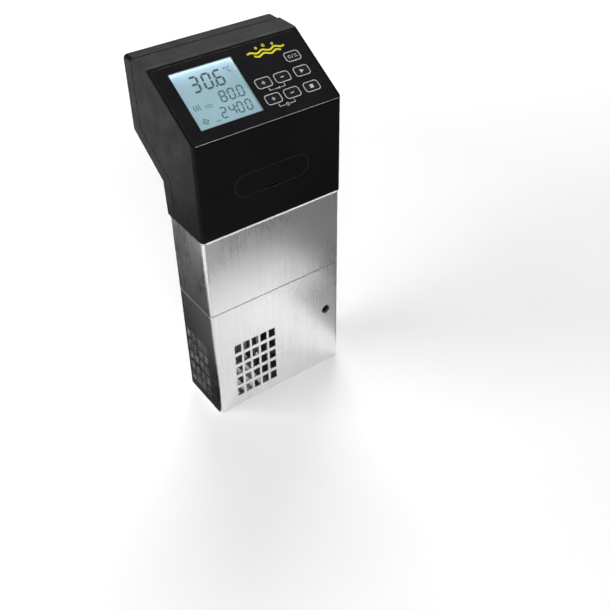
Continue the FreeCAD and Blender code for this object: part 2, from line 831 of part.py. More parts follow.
def lcd_module():
    body = sub_part("lcd_module", ("lcd_across", "lcd_up", 0), SLOPED)
    block(body, "stack", ("-lcd_width / 2 - module_margin", "lcd_width / 2 + module_margin"),
          ("-lcd_tall / 2 - module_margin", "lcd_tall / 2 + module_margin"), ("-board_top", "-bezel_bottom"))


def key(label, across, up):
    body = sub_part(label, (across, up, 0), SLOPED)
    block(body, "cap", ("-key_width / 2", "key_width / 2"), ("-key_tall / 2", "key_tall / 2"),
          ("-flange_bottom", "key_proud"))
    round_edges(body, "cap_corners", "key_round", upright)
    block(body, "flange", ("-key_width / 2", "key_width / 2"),
          ("-key_tall / 2 - key_flange", "key_tall / 2 + key_flange"), ("-flange_bottom", "-flange_top"))
    rod(body, "plunger", "plunger_radius", (0, 0), ("-plunger_bottom", "-flange_bottom"))


def control_board():
    body = sub_part("control_board", (0, 0, 0), SLOPED)
    levels = ("-board_top - board_thickness", "-board_top")
    block(body, "sheet", ("-board_width / 2", "board_width / 2"), ("board_low", "board_high"), levels)
    for side in ("-", ""):
        for level in ("low", "high"):
            rod(body, f"hole_{level}{len(side)}", "board_screw + 0.15",
                (f"{side}board_post_x", f"board_post_{level}"), (-14, -8), cut=True)


def key_switches():
    switches = []
    for name, (across, up) in KEYS.items():
        low = ("switch_size / 2", "-board_top")
        case = solid("Box", f"{name}_case", (f"{across} - {low[0]}", f"{up} - {low[0]}", low[1]), SLOPED,
                     Length="switch_size", Width="switch_size", Height="switch_height")
        button = solid("Cylinder", f"{name}_button", (across, up, "switch_height - board_top"), SLOPED,
                       Radius="switch_button", Height="board_top - switch_height - switch_top")
        switches.append(joined(f"{name}_switch", [case, button], listed=False))
    group("key_switches", switches)


def control_board_screws():
    screws = []
    for side in ("-", ""):
        for level in ("low", "high"):
            seat = on_slope(f"{side}board_post_x", f"board_post_{level}", "-board_top - board_thickness")
            screws.append(screw(f"board_screw_{level}{len(side)}", seat, UNDER_SLOPE, *BOARD_SCREW))
    group("control_board_screws", screws)


# ---- deck and column ---------------------------------------------------------------------------

def heater_legs():
    return ("heater_left", "heater_left + 6 * heater_bend")


# each place as x and y on the deck, or x and z on the back of the column
DECK_SCREWS = [(x, y) for x in ("-deck_screw_x", "deck_screw_x") for y in ("-deck_screw_y", "deck_screw_y")]
CLAMP_SCREWS = [(x, z) for x in ("-clamp_screw_x", "clamp_screw_x") for z in ("clamp_row_low", "clamp_row_high")]


def deck_holes(body, levels):
    """Cut everything that passes through the deck."""
    rod(body, "shaft_hole", "coupling_radius - 2", ("pump_x", "pump_y"), levels, cut=True)
    rod(body, "probe_hole", "probe_radius + 0.1", ("probe_x", "probe_y"), levels, cut=True)
    rod(body, "stem_hole", "stem_radius + 0.1", ("stem_x", "stem_y"), levels, cut=True)
    for number, leg in enumerate(heater_legs()):
        rod(body, f"leg_hole{number}", "tube_heater + 0.1", (leg, "heater_y"), levels, cut=True)
    screw_holes(body, levels)


def screw_holes(body, levels):
    for number, place in enumerate(DECK_SCREWS):
        rod(body, f"screw_hole{number}", "deck_screw_way", place, levels, cut=True)


def rounded_tube(body, name, inset, radius, levels, thickness, floor=None):
    """A rectangular tube with round corners; its floor or roof is what `floor` leaves of the levels."""
    x = f"head_width / 2 - {inset}"
    y = f"column_depth / 2 - {inset}"
    block(body, name, (f"-({x})", x), (f"-({y})", y), levels)
    round_edges(body, f"{name}_corners", radius, upright)
    inner_x = f"{x} - {thickness}"
    inner_y = f"{y} - {thickness}"
    block(body, f"{name}_inside", (f"-({inner_x})", inner_x), (f"-({inner_y})", inner_y),
          floor or (f"{levels[0]} - 1", f"{levels[1]} + 1"), cut=True)
    wall_line = sheet.column_depth / 2 - sheet.get(inset) - sheet.get(thickness)
    end_line = sheet.head_width / 2 - sheet.get(inset) - sheet.get(thickness)
    round_edges(body, f"{name}_inner_corners", f"{radius} - {thickness}",
                lambda middle, way: upright(middle, way) and abs(abs(middle.x) - end_line) < 0.01
                and abs(abs(middle.y) - wall_line) < 0.01)


def deck_plate():
    body = sub_part("deck_plate")
    levels = ("head_bottom - deck_thickness", "head_bottom")
    block(body, "plate", both("head_width / 2"), both("column_depth / 2"), levels)
    round_edges(body, "corners", "deck_round", upright)
    deck_holes(body, ("head_bottom - deck_thickness - 1", "head_bottom + 1"))


def deck_gasket():
    body = sub_part("deck_gasket")
    x = f"{CASING_X} - gasket_inset"
    y = f"{CASING_Y} - gasket_inset"
    block(body, "pad", (f"-({x})", x), (f"-({y})", y), (CASING_TOP, f"{CASING_TOP} + gasket_thickness"))
    round_edges(body, "corners", "casing_round", upright)
    opening(body)
    screw_holes(body, (f"{CASING_TOP} - 1", f"{CASING_TOP} + 3"))


def opening(body):
    """Cut the large opening inside the casing's top flange."""
    x = f"{CASING_X} - sheet - flange_width"
    y = f"{CASING_Y} - sheet - flange_width"
    block(body, "opening", (f"-({x})", x), (f"-({y})", y), (f"{CASING_TOP} - 3", f"{CASING_TOP} + 3"), cut=True)


def column_casing():
    body = sub_part("column_casing")
    foot = "skirt_top + skirt_gap"
    rounded_tube(body, "tube", "casing_inset", "casing_round", (foot, CASING_TOP), "sheet",
                 floor=(f"{foot} - 1", f"{CASING_TOP} - sheet"))
    opening(body)
    screw_holes(body, (f"{CASING_TOP} - 3", f"{CASING_TOP} + 3"))
    for number, (x, z) in enumerate(CLAMP_SCREWS):
        rod(body, f"clamp_hole{number}", "clamp_screw_way", (x, z), (f"{CASING_Y} - 8", f"{CASING_Y} + 2"), "y",
            cut=True)


def joint_collar():
    body = sub_part("joint_collar")
    rounded_tube(body, "ring", "collar_inset", "collar_round", ("collar_low", "collar_high"), "collar_sheet")


def lower_skirt():
    body = sub_part("lower_skirt")
    rounded_tube(body, "tube", "casing_inset", "casing_round", (0, "skirt_top"), "sheet",
                 floor=("skirt_floor", "skirt_top + 1"))
    half_width, half_tall = "hole_width / 2", "hole_tall / 2"
    rows = "hole_pitch_z * (hole_rows - 1)"
    z = (f"hole_first_z - {half_tall}", f"hole_first_z + {half_tall}")
    first = block(body, "front_hole", (f"hole_first_x - {half_width}", f"hole_first_x + {half_width}"),
                  ("-column_depth / 2", "-column_depth / 2 + 4"), z, cut=True)
    count = int(sheet.hole_rows)
    repeat(body, "front_holes", first, [("x", "hole_pitch_x * 4", 5), ("z", rows, count)])
    first = block(body, "side_hole", ("-head_width / 2", "-head_width / 2 + 4"),
                  (f"hole_first_y - {half_width}", f"hole_first_y + {half_width}"), z, cut=True)
    repeat(body, "side_holes", first, [("y", "hole_pitch_x * 3", 4), ("z", rows, count)])
    rod(body, "outlet_hole", "outlet_radius", ("outlet_x", "outlet_z"),
        ("-column_depth / 2 - 1", "-column_depth / 2 + 8"), "y", cut=True)
    half = "floor_slot_width / 2"
    slot = block(body, "floor_slot", (f"floor_slot_x - {half}", f"floor_slot_x + {half}"),
                 both("floor_slot_length / 2"), (-1, 5), cut=True)
    repeat(body, "floor_slots", slot, [("x", "floor_slot_pitch * 4", 5)])


# ---- motor, shaft and pump ---------------------------------------------------------------------

def motor():
    pump = ("pump_x", "pump_y")
    can = sub_part("motor_can", (*pump, 0))
    rod(can, "outside", "motor_radius", (0, 0), ("motor_low", "motor_high"))
    rod(can, "inside", "motor_radius - motor_wall", (0, 0),
        ("motor_low + motor_wall", "motor_high - motor_wall"), cut=True)
    rod(can, "shaft_way", "shaft_radius + running_gap", (0, 0), ("motor_low - 1", "motor_low + 5"), cut=True)
    rotor = sub_part("motor_rotor", (*pump, 0))
    rod(rotor, "shaft", "shaft_radius", (0, 0), ("shaft_high + 0.3", "rotor_high + 5"))
    rod(rotor, "core", "rotor_radius", (0, 0), ("rotor_low", "rotor_high"))

    plate = sub_part("motor_bracket", (*pump, "motor_low - bracket_plate"))
    block(plate, "plate", both("standoff_x + standoff_margin"), both("standoff_y + standoff_margin"),
          (0, "bracket_plate"))
    round_edges(plate, "corners", "bracket_round", upright)
    through = (-1, "bracket_plate + 1")
    rod(plate, "shaft_way", "coupling_radius + 1", (0, 0), through, cut=True)
    places = [(x, y) for x in ("-standoff_x", "standoff_x") for y in ("-standoff_y", "standoff_y")]
    for number, place in enumerate(places):
        rod(plate, f"screw_hole{number}", "standoff_screw", place, through, cut=True)
    stands = [solid("Prism", f"standoff{number}", (f"pump_x + {x}", f"pump_y + {y}", "head_bottom"), Polygon=6,
                    Circumradius="standoff_radius", Height="motor_low - bracket_plate - head_bottom")
              for number, (x, y) in enumerate(places)]
    group("motor_standoffs", stands)


def shaft():
    pump = ("pump_x", "pump_y")
    drive = sub_part("drive_shaft", (*pump, 0))
    rod(drive, "shaft", "shaft_radius", (0, 0), ("shaft_low", "shaft_high"))
    coupling = sub_part("shaft_coupling", (*pump, 0))
    rod(coupling, "sleeve", "coupling_radius", (0, 0), ("coupling_low", "coupling_high"))
    rod(coupling, "bore", "shaft_radius", (0, 0), ("coupling_low - 1", "coupling_high + 1"), cut=True)
    tube = sub_part("shaft_tube", (*pump, 0))
    top = "head_bottom - deck_thickness"
    rod(tube, "tube", "tube_radius", (0, 0), ("pump_top", top))
    rod(tube, "flange", "tube_flange", (0, 0), (f"{top} - tube_flange_thickness", top))
    rod(tube, "bore", "tube_bore", (0, 0), ("pump_top - 1", "head_bottom"), cut=True)
    block(tube, "drain", both("tube_radius + 1"), both("drain_width / 2"), ("drain_low", "drain_high"),
          cut=True)
    bushes = []
    for name, low in (("lower", "pump_top + 1"), ("upper", f"{top} - tube_flange_thickness - bush_length")):
        bush = doc.addObject("Part::Cut", f"{name}_bush")
        bush.Base = solid("Cylinder", f"{name}_bush_outside", (*pump, low),
                          Radius="tube_bore", Height="bush_length")
        bush.Tool = solid("Cylinder", f"{name}_bush_bore", (*pump, f"{low} - 1"),
                          Radius="shaft_radius + running_gap", Height="bush_length + 2")
        bushes.append(bush)
    group("shaft_bushes", bushes)


def impeller():
    body = sub_part("impeller", ("pump_x", "pump_y", 0))
    rod(body, "disc", "impeller_radius", (0, 0), ("impeller_low", "impeller_low + impeller_disc"))
    blade = block(body, "blade", ("blade_start", "impeller_radius"), both("blade_thickness / 2"),
                  ("impeller_low", "impeller_high"))
    ring_of(body, "blades", blade, 6)
    rod(body, "hub", "hub_radius", (0, 0), ("impeller_low", "impeller_high + 1.5"))
    rod(body, "bore", "shaft_radius", (0, 0), ("impeller_low - 1", "impeller_high + 3"), cut=True)


def pump():
    house = sub_part("pump_housing", ("pump_x", "pump_y", 0))
    rod(house, "outside", "pump_radius", (0, 0), ("pump_bottom", "pump_top"))
    nozzle = ("outlet_x - pump_x", "outlet_z")
    rod(house, "nozzle", "nozzle_radius", nozzle, ("nozzle_end - pump_y", 0), "y")
    rod(house, "chamber", "chamber_radius", (0, 0), ("pump_bottom - 1", "chamber_top"), cut=True)
    rod(house, "nozzle_bore", "nozzle_bore", nozzle, ("nozzle_end - pump_y - 1", 0), "y", cut=True)
    rod(house, "shaft_way", "shaft_radius + 0.6", (0, 0), ("chamber_top - 1", "pump_top + 1"), cut=True)
    lid = sub_part("pump_cover", ("pump_x", "pump_y", "pump_bottom - pump_lid"))
    rod(lid, "disc", "pump_radius", (0, 0), (0, "pump_lid"))
    rod(lid, "inlet", "inlet_radius", (0, 0), (-1, "pump_lid + 1"), cut=True)


# ---- heater, probe and float -------------------------------------------------------------------

def heating_element():
    """A tube that goes down, up, down and up again, in one plane."""
    pieces = []
    tops = ("heater_high", "heater_mid", "heater_mid", "heater_high")
    for number, top in enumerate(tops):
        pieces.append(solid("Cylinder", f"heater_leg{number}",
                            (f"heater_left + {2 * number} * heater_bend", "heater_y", "heater_low"),
                            Radius="tube_heater", Height=f"{top} - heater_low"))
    for number, level in enumerate(("heater_low", "heater_mid", "heater_low")):
        over = level == "heater_mid"
        turn = FreeCAD.Rotation(FreeCAD.Vector(1, 0, 0), 90 if over else -90)
        bend = solid("Torus", f"heater_bend{number}",
                     (f"heater_left + {2 * number + 1} * heater_bend", "heater_y", level), turn,
                     Radius1="heater_bend", Radius2="tube_heater", Angle3=180)
        pieces.append(bend)
    joined("heating_element", pieces)


def pierced_nut(name, at, radius, bore, height):
    """A hexagon nut with its hole."""
    nut = doc.addObject("Part::Cut", name)
    nut.Base = solid("Prism", f"{name}_blank", at, Polygon=6, Circumradius=radius, Height=height)
    nut.Tool = solid("Cylinder", f"{name}_bore", (at[0], at[1], f"{at[2]} - 1"),
                     Radius=bore, Height=f"{height} + 2")
    return nut


def element_nuts():
    nuts = [pierced_nut(f"element_nut{number}", (leg, "heater_y", "head_bottom"), "nut_radius", "tube_heater",
                        "nut_height")
            for number, leg in enumerate(heater_legs())]
    group("element_nuts", nuts)


def temperature_probe():
    body = sub_part("temperature_probe", ("probe_x", "probe_y", 0))
    rod(body, "rod", "probe_radius", (0, 0), ("probe_low", "head_bottom + probe_end"))
    rod(body, "collar", "probe_collar", (0, 0), ("head_bottom", "head_bottom + collar_height"))


def level_switch():
    stem = sub_part("float_stem", ("stem_x", "stem_y", 0))
    rod(stem, "rod", "stem_radius", (0, 0), ("stem_low", "head_bottom + stem_end"))
    rod(stem, "low_stop", "stem_stop", (0, 0), ("stem_low", "stem_low + stop_height"))
    rod(stem, "high_stop", "stem_stop", (0, 0), ("stem_top - stop_height", "stem_top"))
    rod(stem, "nut", "stem_nut", (0, 0), ("head_bottom", "head_bottom + collar_height"))
    body = sub_part("level_float", ("stem_x", "stem_y", "stem_low + stop_height + float_rest"))
    rod(body, "drum", "float_radius", (0, 0), (0, "float_height"))
    rod(body, "bore", "stem_radius + float_gap", (0, 0), (-1, "float_height + 1"), cut=True)


# ---- power electronics -------------------------------------------------------------------------

def power_electronics():
    board = sub_part("power_board")
    block(board, "sheet", ("power_left", "power_right"), ("power_y", "power_y + board_thickness"),
          ("power_low", "power_high"))
    rail = sub_part("board_rail")
    block(rail, "rail", ("power_left", "power_right"), ("power_y - rail_front", "power_y + rail_back"),
          ("head_bottom", "rail_top"))
    block(rail, "slot", ("power_left - 1", "power_right + 1"),
          ("power_y - rail_play", "power_y + board_thickness + rail_play"), ("power_low", "rail_slot_top"),
          cut=True)
    coil = sub_part("transformer")
    block(coil, "core", ("coil_left", "coil_right"), ("coil_front", "power_y"), ("coil_low", "coil_high"))
    block(coil, "winding", ("coil_left + winding_inset", "coil_right - winding_inset"),
          ("winding_front", "power_y - 1"), ("coil_low - winding_swell", "coil_high + winding_swell"))
    relay = sub_part("heater_relay")
    block(relay, "case", ("relay_left", "relay_right"), ("relay_front", "power_y"), ("relay_low", "relay_high"))
    capacitor = sub_part("filter_capacitor")
    rod(capacitor, "can", "can_radius", ("can_x", "can_z"), ("can_front", "power_y"), "y")
    sink = sub_part("heatsink")
    levels = ("sink_low", "sink_high")
    block(sink, "base", ("sink_left", "sink_right"), ("sink_front", "sink_front + sink_plate"), levels)
    fin = block(sink, "fin", ("sink_left", "sink_left + fin_thickness"),
                ("sink_front + sink_plate - 1", "fin_back"), levels)
    repeat(sink, "fins", fin, [("x", "sink_right - sink_left - fin_thickness", 9)])


# ---- back face ---------------------------------------------------------------------------------

def along_back(middle, way):
    return abs(way.y) > 0.999


def mains_inlet():
    body = sub_part("mains_inlet", ("inlet_x", "head_back", "back_z"))
    block(body, "flange", both("inlet_flange_x"), (0, "inlet_flange"), both("inlet_flange_z"))
    round_edges(body, "flange_corners", "inlet_round", along_back)
    block(body, "case", both("inlet_case_x"), ("-inlet_case", 1), both("inlet_case_z"))
    block(body, "mouth", both("inlet_mouth_x"), ("-inlet_mouth", "inlet_flange + 1"), both("inlet_mouth_z"),
          cut=True)
    places = (("-pin_side", "-pin_drop"), (0, 0), ("pin_side", "-pin_drop"))
    pins = [solid("Box", f"inlet_pin{number}",
                  (f"inlet_x + {x} - pin_width / 2", "head_back - inlet_mouth", f"back_z + {z}"),
                  Length="pin_width", Width="pin_length", Height="pin_tall")
            for number, (x, z) in enumerate(places)]
    group("inlet_pins", pins)


def power_switch():
    bezel = sub_part("switch_bezel", ("rocker_x", "head_back", "back_z"))
    block(bezel, "flange", both("bezel_x"), (0, "bezel_flange"), both("bezel_z"))
    round_edges(bezel, "flange_corners", "bezel_round", along_back)
    block(bezel, "case", both("switch_case_x"), ("-switch_case", 1), both("switch_case_z"))
    block(bezel, "mouth", both("switch_mouth_x"), ("-switch_mouth", "bezel_flange + 1"), both("switch_mouth_z"),
          cut=True)
    pivot = "rocker_pivot - head_back"
    rod(bezel, "pivot_hole", "pivot_radius + running_gap", (pivot, 0), both("pivot_reach + pivot_play"), "x",
        cut=True)
    turn = FreeCAD.Rotation(FreeCAD.Vector(1, 0, 0), -sheet.rocker_tilt)
    rocker = sub_part("power_rocker", ("rocker_x", "rocker_pivot", "back_z"), turn)
    outline = [(4.6, 0), (5.8, 8.6), (1.5, 8.2), (-4, 3), (-4, -3), (1.5, -8.2), (5.8, -8.6)]   # a shallow V
    prism(rocker, "paddle", outline, "rocker_width")
    rod(rocker, "pivot", "pivot_radius", (0, 0), both("pivot_reach"), "x")


def fuse_holder():
    body = sub_part("fuse_holder", ("inlet_x", "head_back", "fuse_z"), BACKWARDS)
    rod(body, "flange", "fuse_flange", (0, 0), (0, "fuse_flange_out"))
    rod(body, "knob", "fuse_knob", (0, 0), (0, "fuse_knob_out"))
    rod(body, "case", "fuse_case", (0, 0), ("-fuse_depth", 1))
    block(body, "coin_slot", both("coin_slot_x"), both("coin_slot_z"),
          ("fuse_knob_out - coin_slot_depth", "fuse_knob_out + 1"), cut=True)


def fan():
    frame = sub_part("fan_frame", ("fan_x", "head_back - wall", "back_z"), BACKWARDS)
    block(frame, "frame", both("fan_size / 2"), both("fan_size / 2"), ("-fan_depth", 0))
    round_edges(frame, "corners", "fan_round", upright)
    rod(frame, "bore", "fan_bore", (0, 0), ("-fan_depth - 1", 1), cut=True)
    strut = block(frame, "strut", both("strut_reach"), both("strut_half"), ("-strut", 0))
    ring_of(frame, "struts", strut, 4)
    rod(frame, "seat", "fan_hub", (0, 0), ("-strut", 0))
    rod(frame, "axle_hole", "axle_radius + running_gap", (0, 0), ("-axle_depth", 1), cut=True)
    rotor = sub_part("fan_rotor", ("fan_x", "head_back - wall", "back_z"), BACKWARDS)
    rod(rotor, "hub", "fan_hub", (0, 0), ("fan_play - fan_depth", "-strut - fan_play"))
    rod(rotor, "axle", "axle_radius", (0, 0), ("-axle_depth", "-fan_play"))
    blade = block(rotor, "blade", both("blade_half"), ("blade_root", "fan_blade"), both("blade_half_thickness"))
    pitch = FreeCAD.Rotation(FreeCAD.Vector(0, 1, 0), sheet.blade_angle)
    put(blade, ("-blade_half * cos(blade_angle)", "blade_root",
                "blade_half * sin(blade_angle) - fan_depth / 2 - fan_play"), pitch)
    ring_of(rotor, "blades", blade, 7)


def cover_screws():
    seats = [(f"{side} * upper_screw_x", "upper_seat", "upper_screw_z") for side in (-1, 1)]
    seats += [(f"{side} * lower_screw_x", "lower_seat", "lower_screw_z") for side in (-1, 1)]
    group("rear_cover_screws", [screw(f"cover_screw{number}", seat, BACKWARDS, *COVER_SCREW)
                                for number, seat in enumerate(seats)])


# ---- clamp -------------------------------------------------------------------------------------

def clamp():
    back = CASING_Y
    bracket = sub_part("clamp_bracket")
    inner = f"{back} + clamp_plate"
    prism(bracket, "plate", [
        (back, "clamp_foot"),
        (inner, "clamp_foot"),
        (inner, "clamp_top - clamp_plate"),
        ("clamp_leg", "clamp_top - clamp_plate"),
        ("clamp_leg", "clamp_low"),
        ("clamp_leg + clamp_plate", "clamp_low"),
        ("clamp_leg + clamp_plate", "clamp_top"),
        (back, "clamp_top"),
    ], "clamp_width")
    round_edges(bracket, "bends", "clamp_bend",
                lambda middle, way: abs(way.x) > 0.999 and middle.z > sheet.clamp_top - 0.1)
    round_edges(bracket, "foot_corners", "foot_round",
                lambda middle, way: abs(way.y) > 0.999 and middle.z < sheet.clamp_foot + 0.1)
    rod(bracket, "boss", "clamp_boss", (0, "clamp_screw_z"), ("clamp_leg - 2", "clamp_boss_end"), "y")
    rod(bracket, "thread", "clamp_screw_radius + running_gap", (0, "clamp_screw_z"),
        ("clamp_leg - 10", "clamp_boss_end + 4.5"), "y", cut=True)
    for number, place in enumerate(CLAMP_SCREWS):
        rod(bracket, f"screw_hole{number}", "clamp_screw_way", place, (f"{back} - 8", f"{inner} + 8"), "y",
            cut=True)
    group("bracket_screws", [screw(f"bracket_screw{number}", (x, inner, z), BACKWARDS, *CLAMP_SCREW)
                             for number, (x, z) in enumerate(CLAMP_SCREWS)])

    axis = (0, 0, "clamp_screw_z")
    spindle = sub_part("clamp_screw", axis, BACKWARDS)
    rod(spindle, "spindle", "clamp_screw_radius", (0, 0), ("clamp_tip", "knob_end - knob_wall"))
    rod(spindle, "tip", "spindle_tip", (0, 0), ("clamp_tip - spindle_tip_length", "clamp_tip + 1"))
    knob = sub_part("clamp_knob", axis, BACKWARDS)
    rod(knob, "grip", "knob_radius", (0, 0), ("knob_start", "knob_end"))
    groove = rod(knob, "groove", "groove_radius", ("knob_radius + groove_offset", 0),
                 ("knob_start - 1", "knob_end + 1"), cut=True)
    ring_of(knob, "grooves", groove, 6)
    rod(knob, "bore", "clamp_screw_radius", (0, 0), ("knob_start - 1", "knob_end - knob_wall"), cut=True)
    pad = sub_part("clamp_pad", axis, BACKWARDS)
    rod(pad, "disc", "clamp_pad_radius", (0, 0), ("clamp_face", "clamp_face + pad_thickness"))
    rod(pad, "socket_wall", "pad_socket", (0, 0), ("clamp_face", "clamp_tip - socket_play"))
    rod(pad, "socket", "spindle_tip + running_gap", (0, 0),
        ("clamp_face + socket_floor", "clamp_tip + 1"), cut=True)
    rest = sub_part("wall_pad")
    block(rest, "pad", both("rest_half_width"), (back, f"{back} + rest_thickness"),
          ("clamp_screw_z - rest_half_height", "clamp_screw_z + rest_half_height"))


def deck_screws():
    group("deck_screws", [screw(f"deck_screw{number}", (x, y, "head_bottom"), UP, *DECK_SCREW)
                          for number, (x, y) in enumerate(DECK_SCREWS)])


# ---- build, check and write --------------------------------------------------------------------

front_housing()
rear_cover()
access_cover()
control_panel()
lcd_window()
lcd_bezel()
lcd_module()
for label, place in KEYS.items():
    key(label, *place)
control_board()
key_switches()
control_board_screws()
deck_plate()
deck_gasket()
deck_screws()
column_casing()
joint_collar()
lower_skirt()
motor()
shaft()
impeller()
pump()
heating_element()
element_nuts()
temperature_probe()
level_switch()
power_electronics()
mains_inlet()
power_switch()
fuse_holder()
fan()
cover_screws()
clamp()
doc.recompute()

failed = [item.Name for item in doc.Objects if {"Invalid", "Error"} & set(item.State)]
failed += [part.Label for part in PARTS if part.Shape.isNull() or not part.Shape.isValid()]
if failed:
    raise RuntimeError(f"these objects did not build: {failed}")
os.makedirs("parts", exist_ok=True)
for part in PARTS:
    part.Shape.exportStep(f"parts/{part.Label}.step")
    print(part.Label, round(part.Shape.Volume), len(part.Shape.Solids))
print(len(PARTS), "sub-parts")
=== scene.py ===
"""Looks of the sous vide circulator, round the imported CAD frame. Blender's unit is the metre."""
import math

import bpy
import bmesh
from mathutils import Matrix, Vector


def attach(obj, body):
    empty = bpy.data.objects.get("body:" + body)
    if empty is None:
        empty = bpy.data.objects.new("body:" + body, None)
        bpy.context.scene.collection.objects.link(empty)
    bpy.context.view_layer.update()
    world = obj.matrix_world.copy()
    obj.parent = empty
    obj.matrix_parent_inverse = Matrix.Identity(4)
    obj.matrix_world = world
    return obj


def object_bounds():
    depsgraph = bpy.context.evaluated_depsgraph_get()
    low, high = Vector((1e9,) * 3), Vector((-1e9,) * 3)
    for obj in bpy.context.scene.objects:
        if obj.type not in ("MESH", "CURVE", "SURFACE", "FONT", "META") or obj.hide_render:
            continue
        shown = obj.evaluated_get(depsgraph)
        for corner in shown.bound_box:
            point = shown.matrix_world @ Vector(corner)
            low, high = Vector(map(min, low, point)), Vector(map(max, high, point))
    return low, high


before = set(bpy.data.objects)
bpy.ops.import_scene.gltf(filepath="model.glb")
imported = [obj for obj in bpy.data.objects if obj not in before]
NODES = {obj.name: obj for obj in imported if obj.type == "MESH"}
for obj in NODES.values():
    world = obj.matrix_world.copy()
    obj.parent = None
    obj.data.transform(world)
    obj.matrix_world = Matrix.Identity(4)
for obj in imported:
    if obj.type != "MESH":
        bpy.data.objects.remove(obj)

cad_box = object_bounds()

MM = 0.001
SCENE = bpy.context.scene

# The sloped control panel: PANEL places its own axes on the object, in metres. The display and
# the keys are laid out on it in millimetres, across and up the slope.
HEAD_FRONT = -28.5
PANEL_EDGE = Vector((0, HEAD_FRONT, 290.6)) * MM
PANEL_SLOPE = math.radians(31.2)
PANEL = Matrix.Translation(PANEL_EDGE) @ Matrix.Rotation(PANEL_SLOPE, 4, "X")
LCD_CENTRE = (-27.75, 38.7)
LCD_SIZE = (56.5, 53.8)
LCD_FACE = -2.6
LCD_LEVELS = [(PANEL @ (Vector((0, LCD_CENTRE[1] + side * LCD_SIZE[1] / 2, LCD_FACE)) * MM)).z
              for side in (-1, 1)]                  # heights of its lower and upper edge
KEY_SIZE = (14.2, 9.1)
KEY_ROUND = 2.7
KEY_FACE = 0.3
KEY_LINE = 0.68
INK_THICK = 0.03
KEYS = {
    "key_set": (51.8, 49.7), "key_start": (51.8, 34.3), "key_stop": (51.8, 18.1),
    "key_temp_up": (14.0, 34.3), "key_temp_down": (32.3, 34.3),
    "key_time_up": (14.0, 18.1), "key_time_down": (32.3, 18.1),
}


# ---- materials ---------------------------------------------------------------------------------

class Look:
    """One procedural material, with its nodes laid in by short calls."""

    def __init__(self, name, **sockets):
        self.material = bpy.data.materials.new(name)
        self.material.use_nodes = True
        self.tree = self.material.node_tree
        self.shader = self.tree.nodes["Principled BSDF"]
        self.place = self.add("ShaderNodeTexCoord").outputs["Object"]
        for socket, value in sockets.items():
            self.shader.inputs[socket.replace("_", " ")].default_value = value

    def add(self, kind, *links, **values):
        """A node of that kind. links are (socket, output to join), values its settings or sockets."""
        node = self.tree.nodes.new(kind)
        for name, value in values.items():
            socket = name.replace("_", " ")
            if hasattr(node, name):
                setattr(node, name, value)
            else:
                node.inputs[socket].default_value = value
        for socket, output in links:
            self.tree.links.new(output, node.inputs[socket])
        return node

    def stretched(self, scale, turn=(0, 0, 0)):
        """The place on the object, scaled per axis, so that a texture made from it is stretched."""
        return self.add("ShaderNodeMapping", ("Vector", self.place), Scale=scale,
                        Rotation=turn).outputs["Vector"]

    def noise(self, scale, detail=3.0, rough=0.55, at=None):
        return self.add("ShaderNodeTexNoise", ("Vector", at or self.place), Scale=scale, Detail=detail,
                        Roughness=rough).outputs["Fac"]

    def spots(self, scale):
        return self.add("ShaderNodeTexVoronoi", ("Vector", self.place), Scale=scale).outputs["Distance"]

    def clouds(self, scale):
        """Soft patches, from 0 to 1."""
        return self.ramp(self.noise(scale, 4), 0.0, 1.0, 0.35, 0.7)

    def ramp(self, value, low, high, start=0.0, end=1.0):
        """value, from start to end, mapped to low to high and held there."""
        return self.add("ShaderNodeMapRange", ("Value", value), From_Min=start, From_Max=end, To_Min=low,
                        To_Max=high).outputs["Result"]

    def maths(self, operation, a, b):
        node = self.add("ShaderNodeMath", operation=operation)
        for socket, value in zip(node.inputs, (a, b)):
            if isinstance(value, (int, float)):
                socket.default_value = value
            else:
                self.tree.links.new(value, socket)
        return node.outputs["Value"]

    def blend(self, share, first, second):
        """first to second by share. Each is a colour or an output."""
        node = self.add("ShaderNodeMix", data_type="RGBA")
        self.tree.links.new(share, node.inputs[0])
        for socket, value in ((node.inputs[6], first), (node.inputs[7], second)):
            if isinstance(value, tuple):
                socket.default_value = (*value, 1)
            else:
                self.tree.links.new(value, socket)
        return node.outputs[2]

    def colour(self, output):
        self.tree.links.new(output, self.shader.inputs["Base Color"])

    def rough(self, output):
        self.tree.links.new(output, self.shader.inputs["Roughness"])

    def bump(self, height, depth, strength=1.0, soft_edge=0.0):
        """Raises the surface by height times depth. soft_edge rounds the light on the edges."""
        node = self.add("ShaderNodeBump", ("Height", height), Distance=depth, Strength=strength)
        if soft_edge:
            bevel = self.add("ShaderNodeBevel", samples=4, Radius=soft_edge)
            self.tree.links.new(bevel.outputs["Normal"], node.inputs["Normal"])
        self.tree.links.new(node.outputs["Normal"], self.shader.inputs["Normal"])

    def worn_edges(self, radius, amount):
        """1 along the edges, broken up by noise, 0 on the flat."""
        bevel = self.add("ShaderNodeBevel", samples=4, Radius=radius)
        flat = self.add("ShaderNodeNewGeometry").outputs["Normal"]
        turned = self.add("ShaderNodeVectorMath", ("Vector", bevel.outputs["Normal"]),
                          operation="DOT_PRODUCT")
        self.tree.links.new(flat, turned.inputs[1])
        edge = self.ramp(turned.outputs["Value"], 1.0, 0.0, 0.82, 0.995)
        return self.maths("MULTIPLY", edge, self.ramp(self.noise(90, 4), 0.0, amount, 0.35, 0.7))


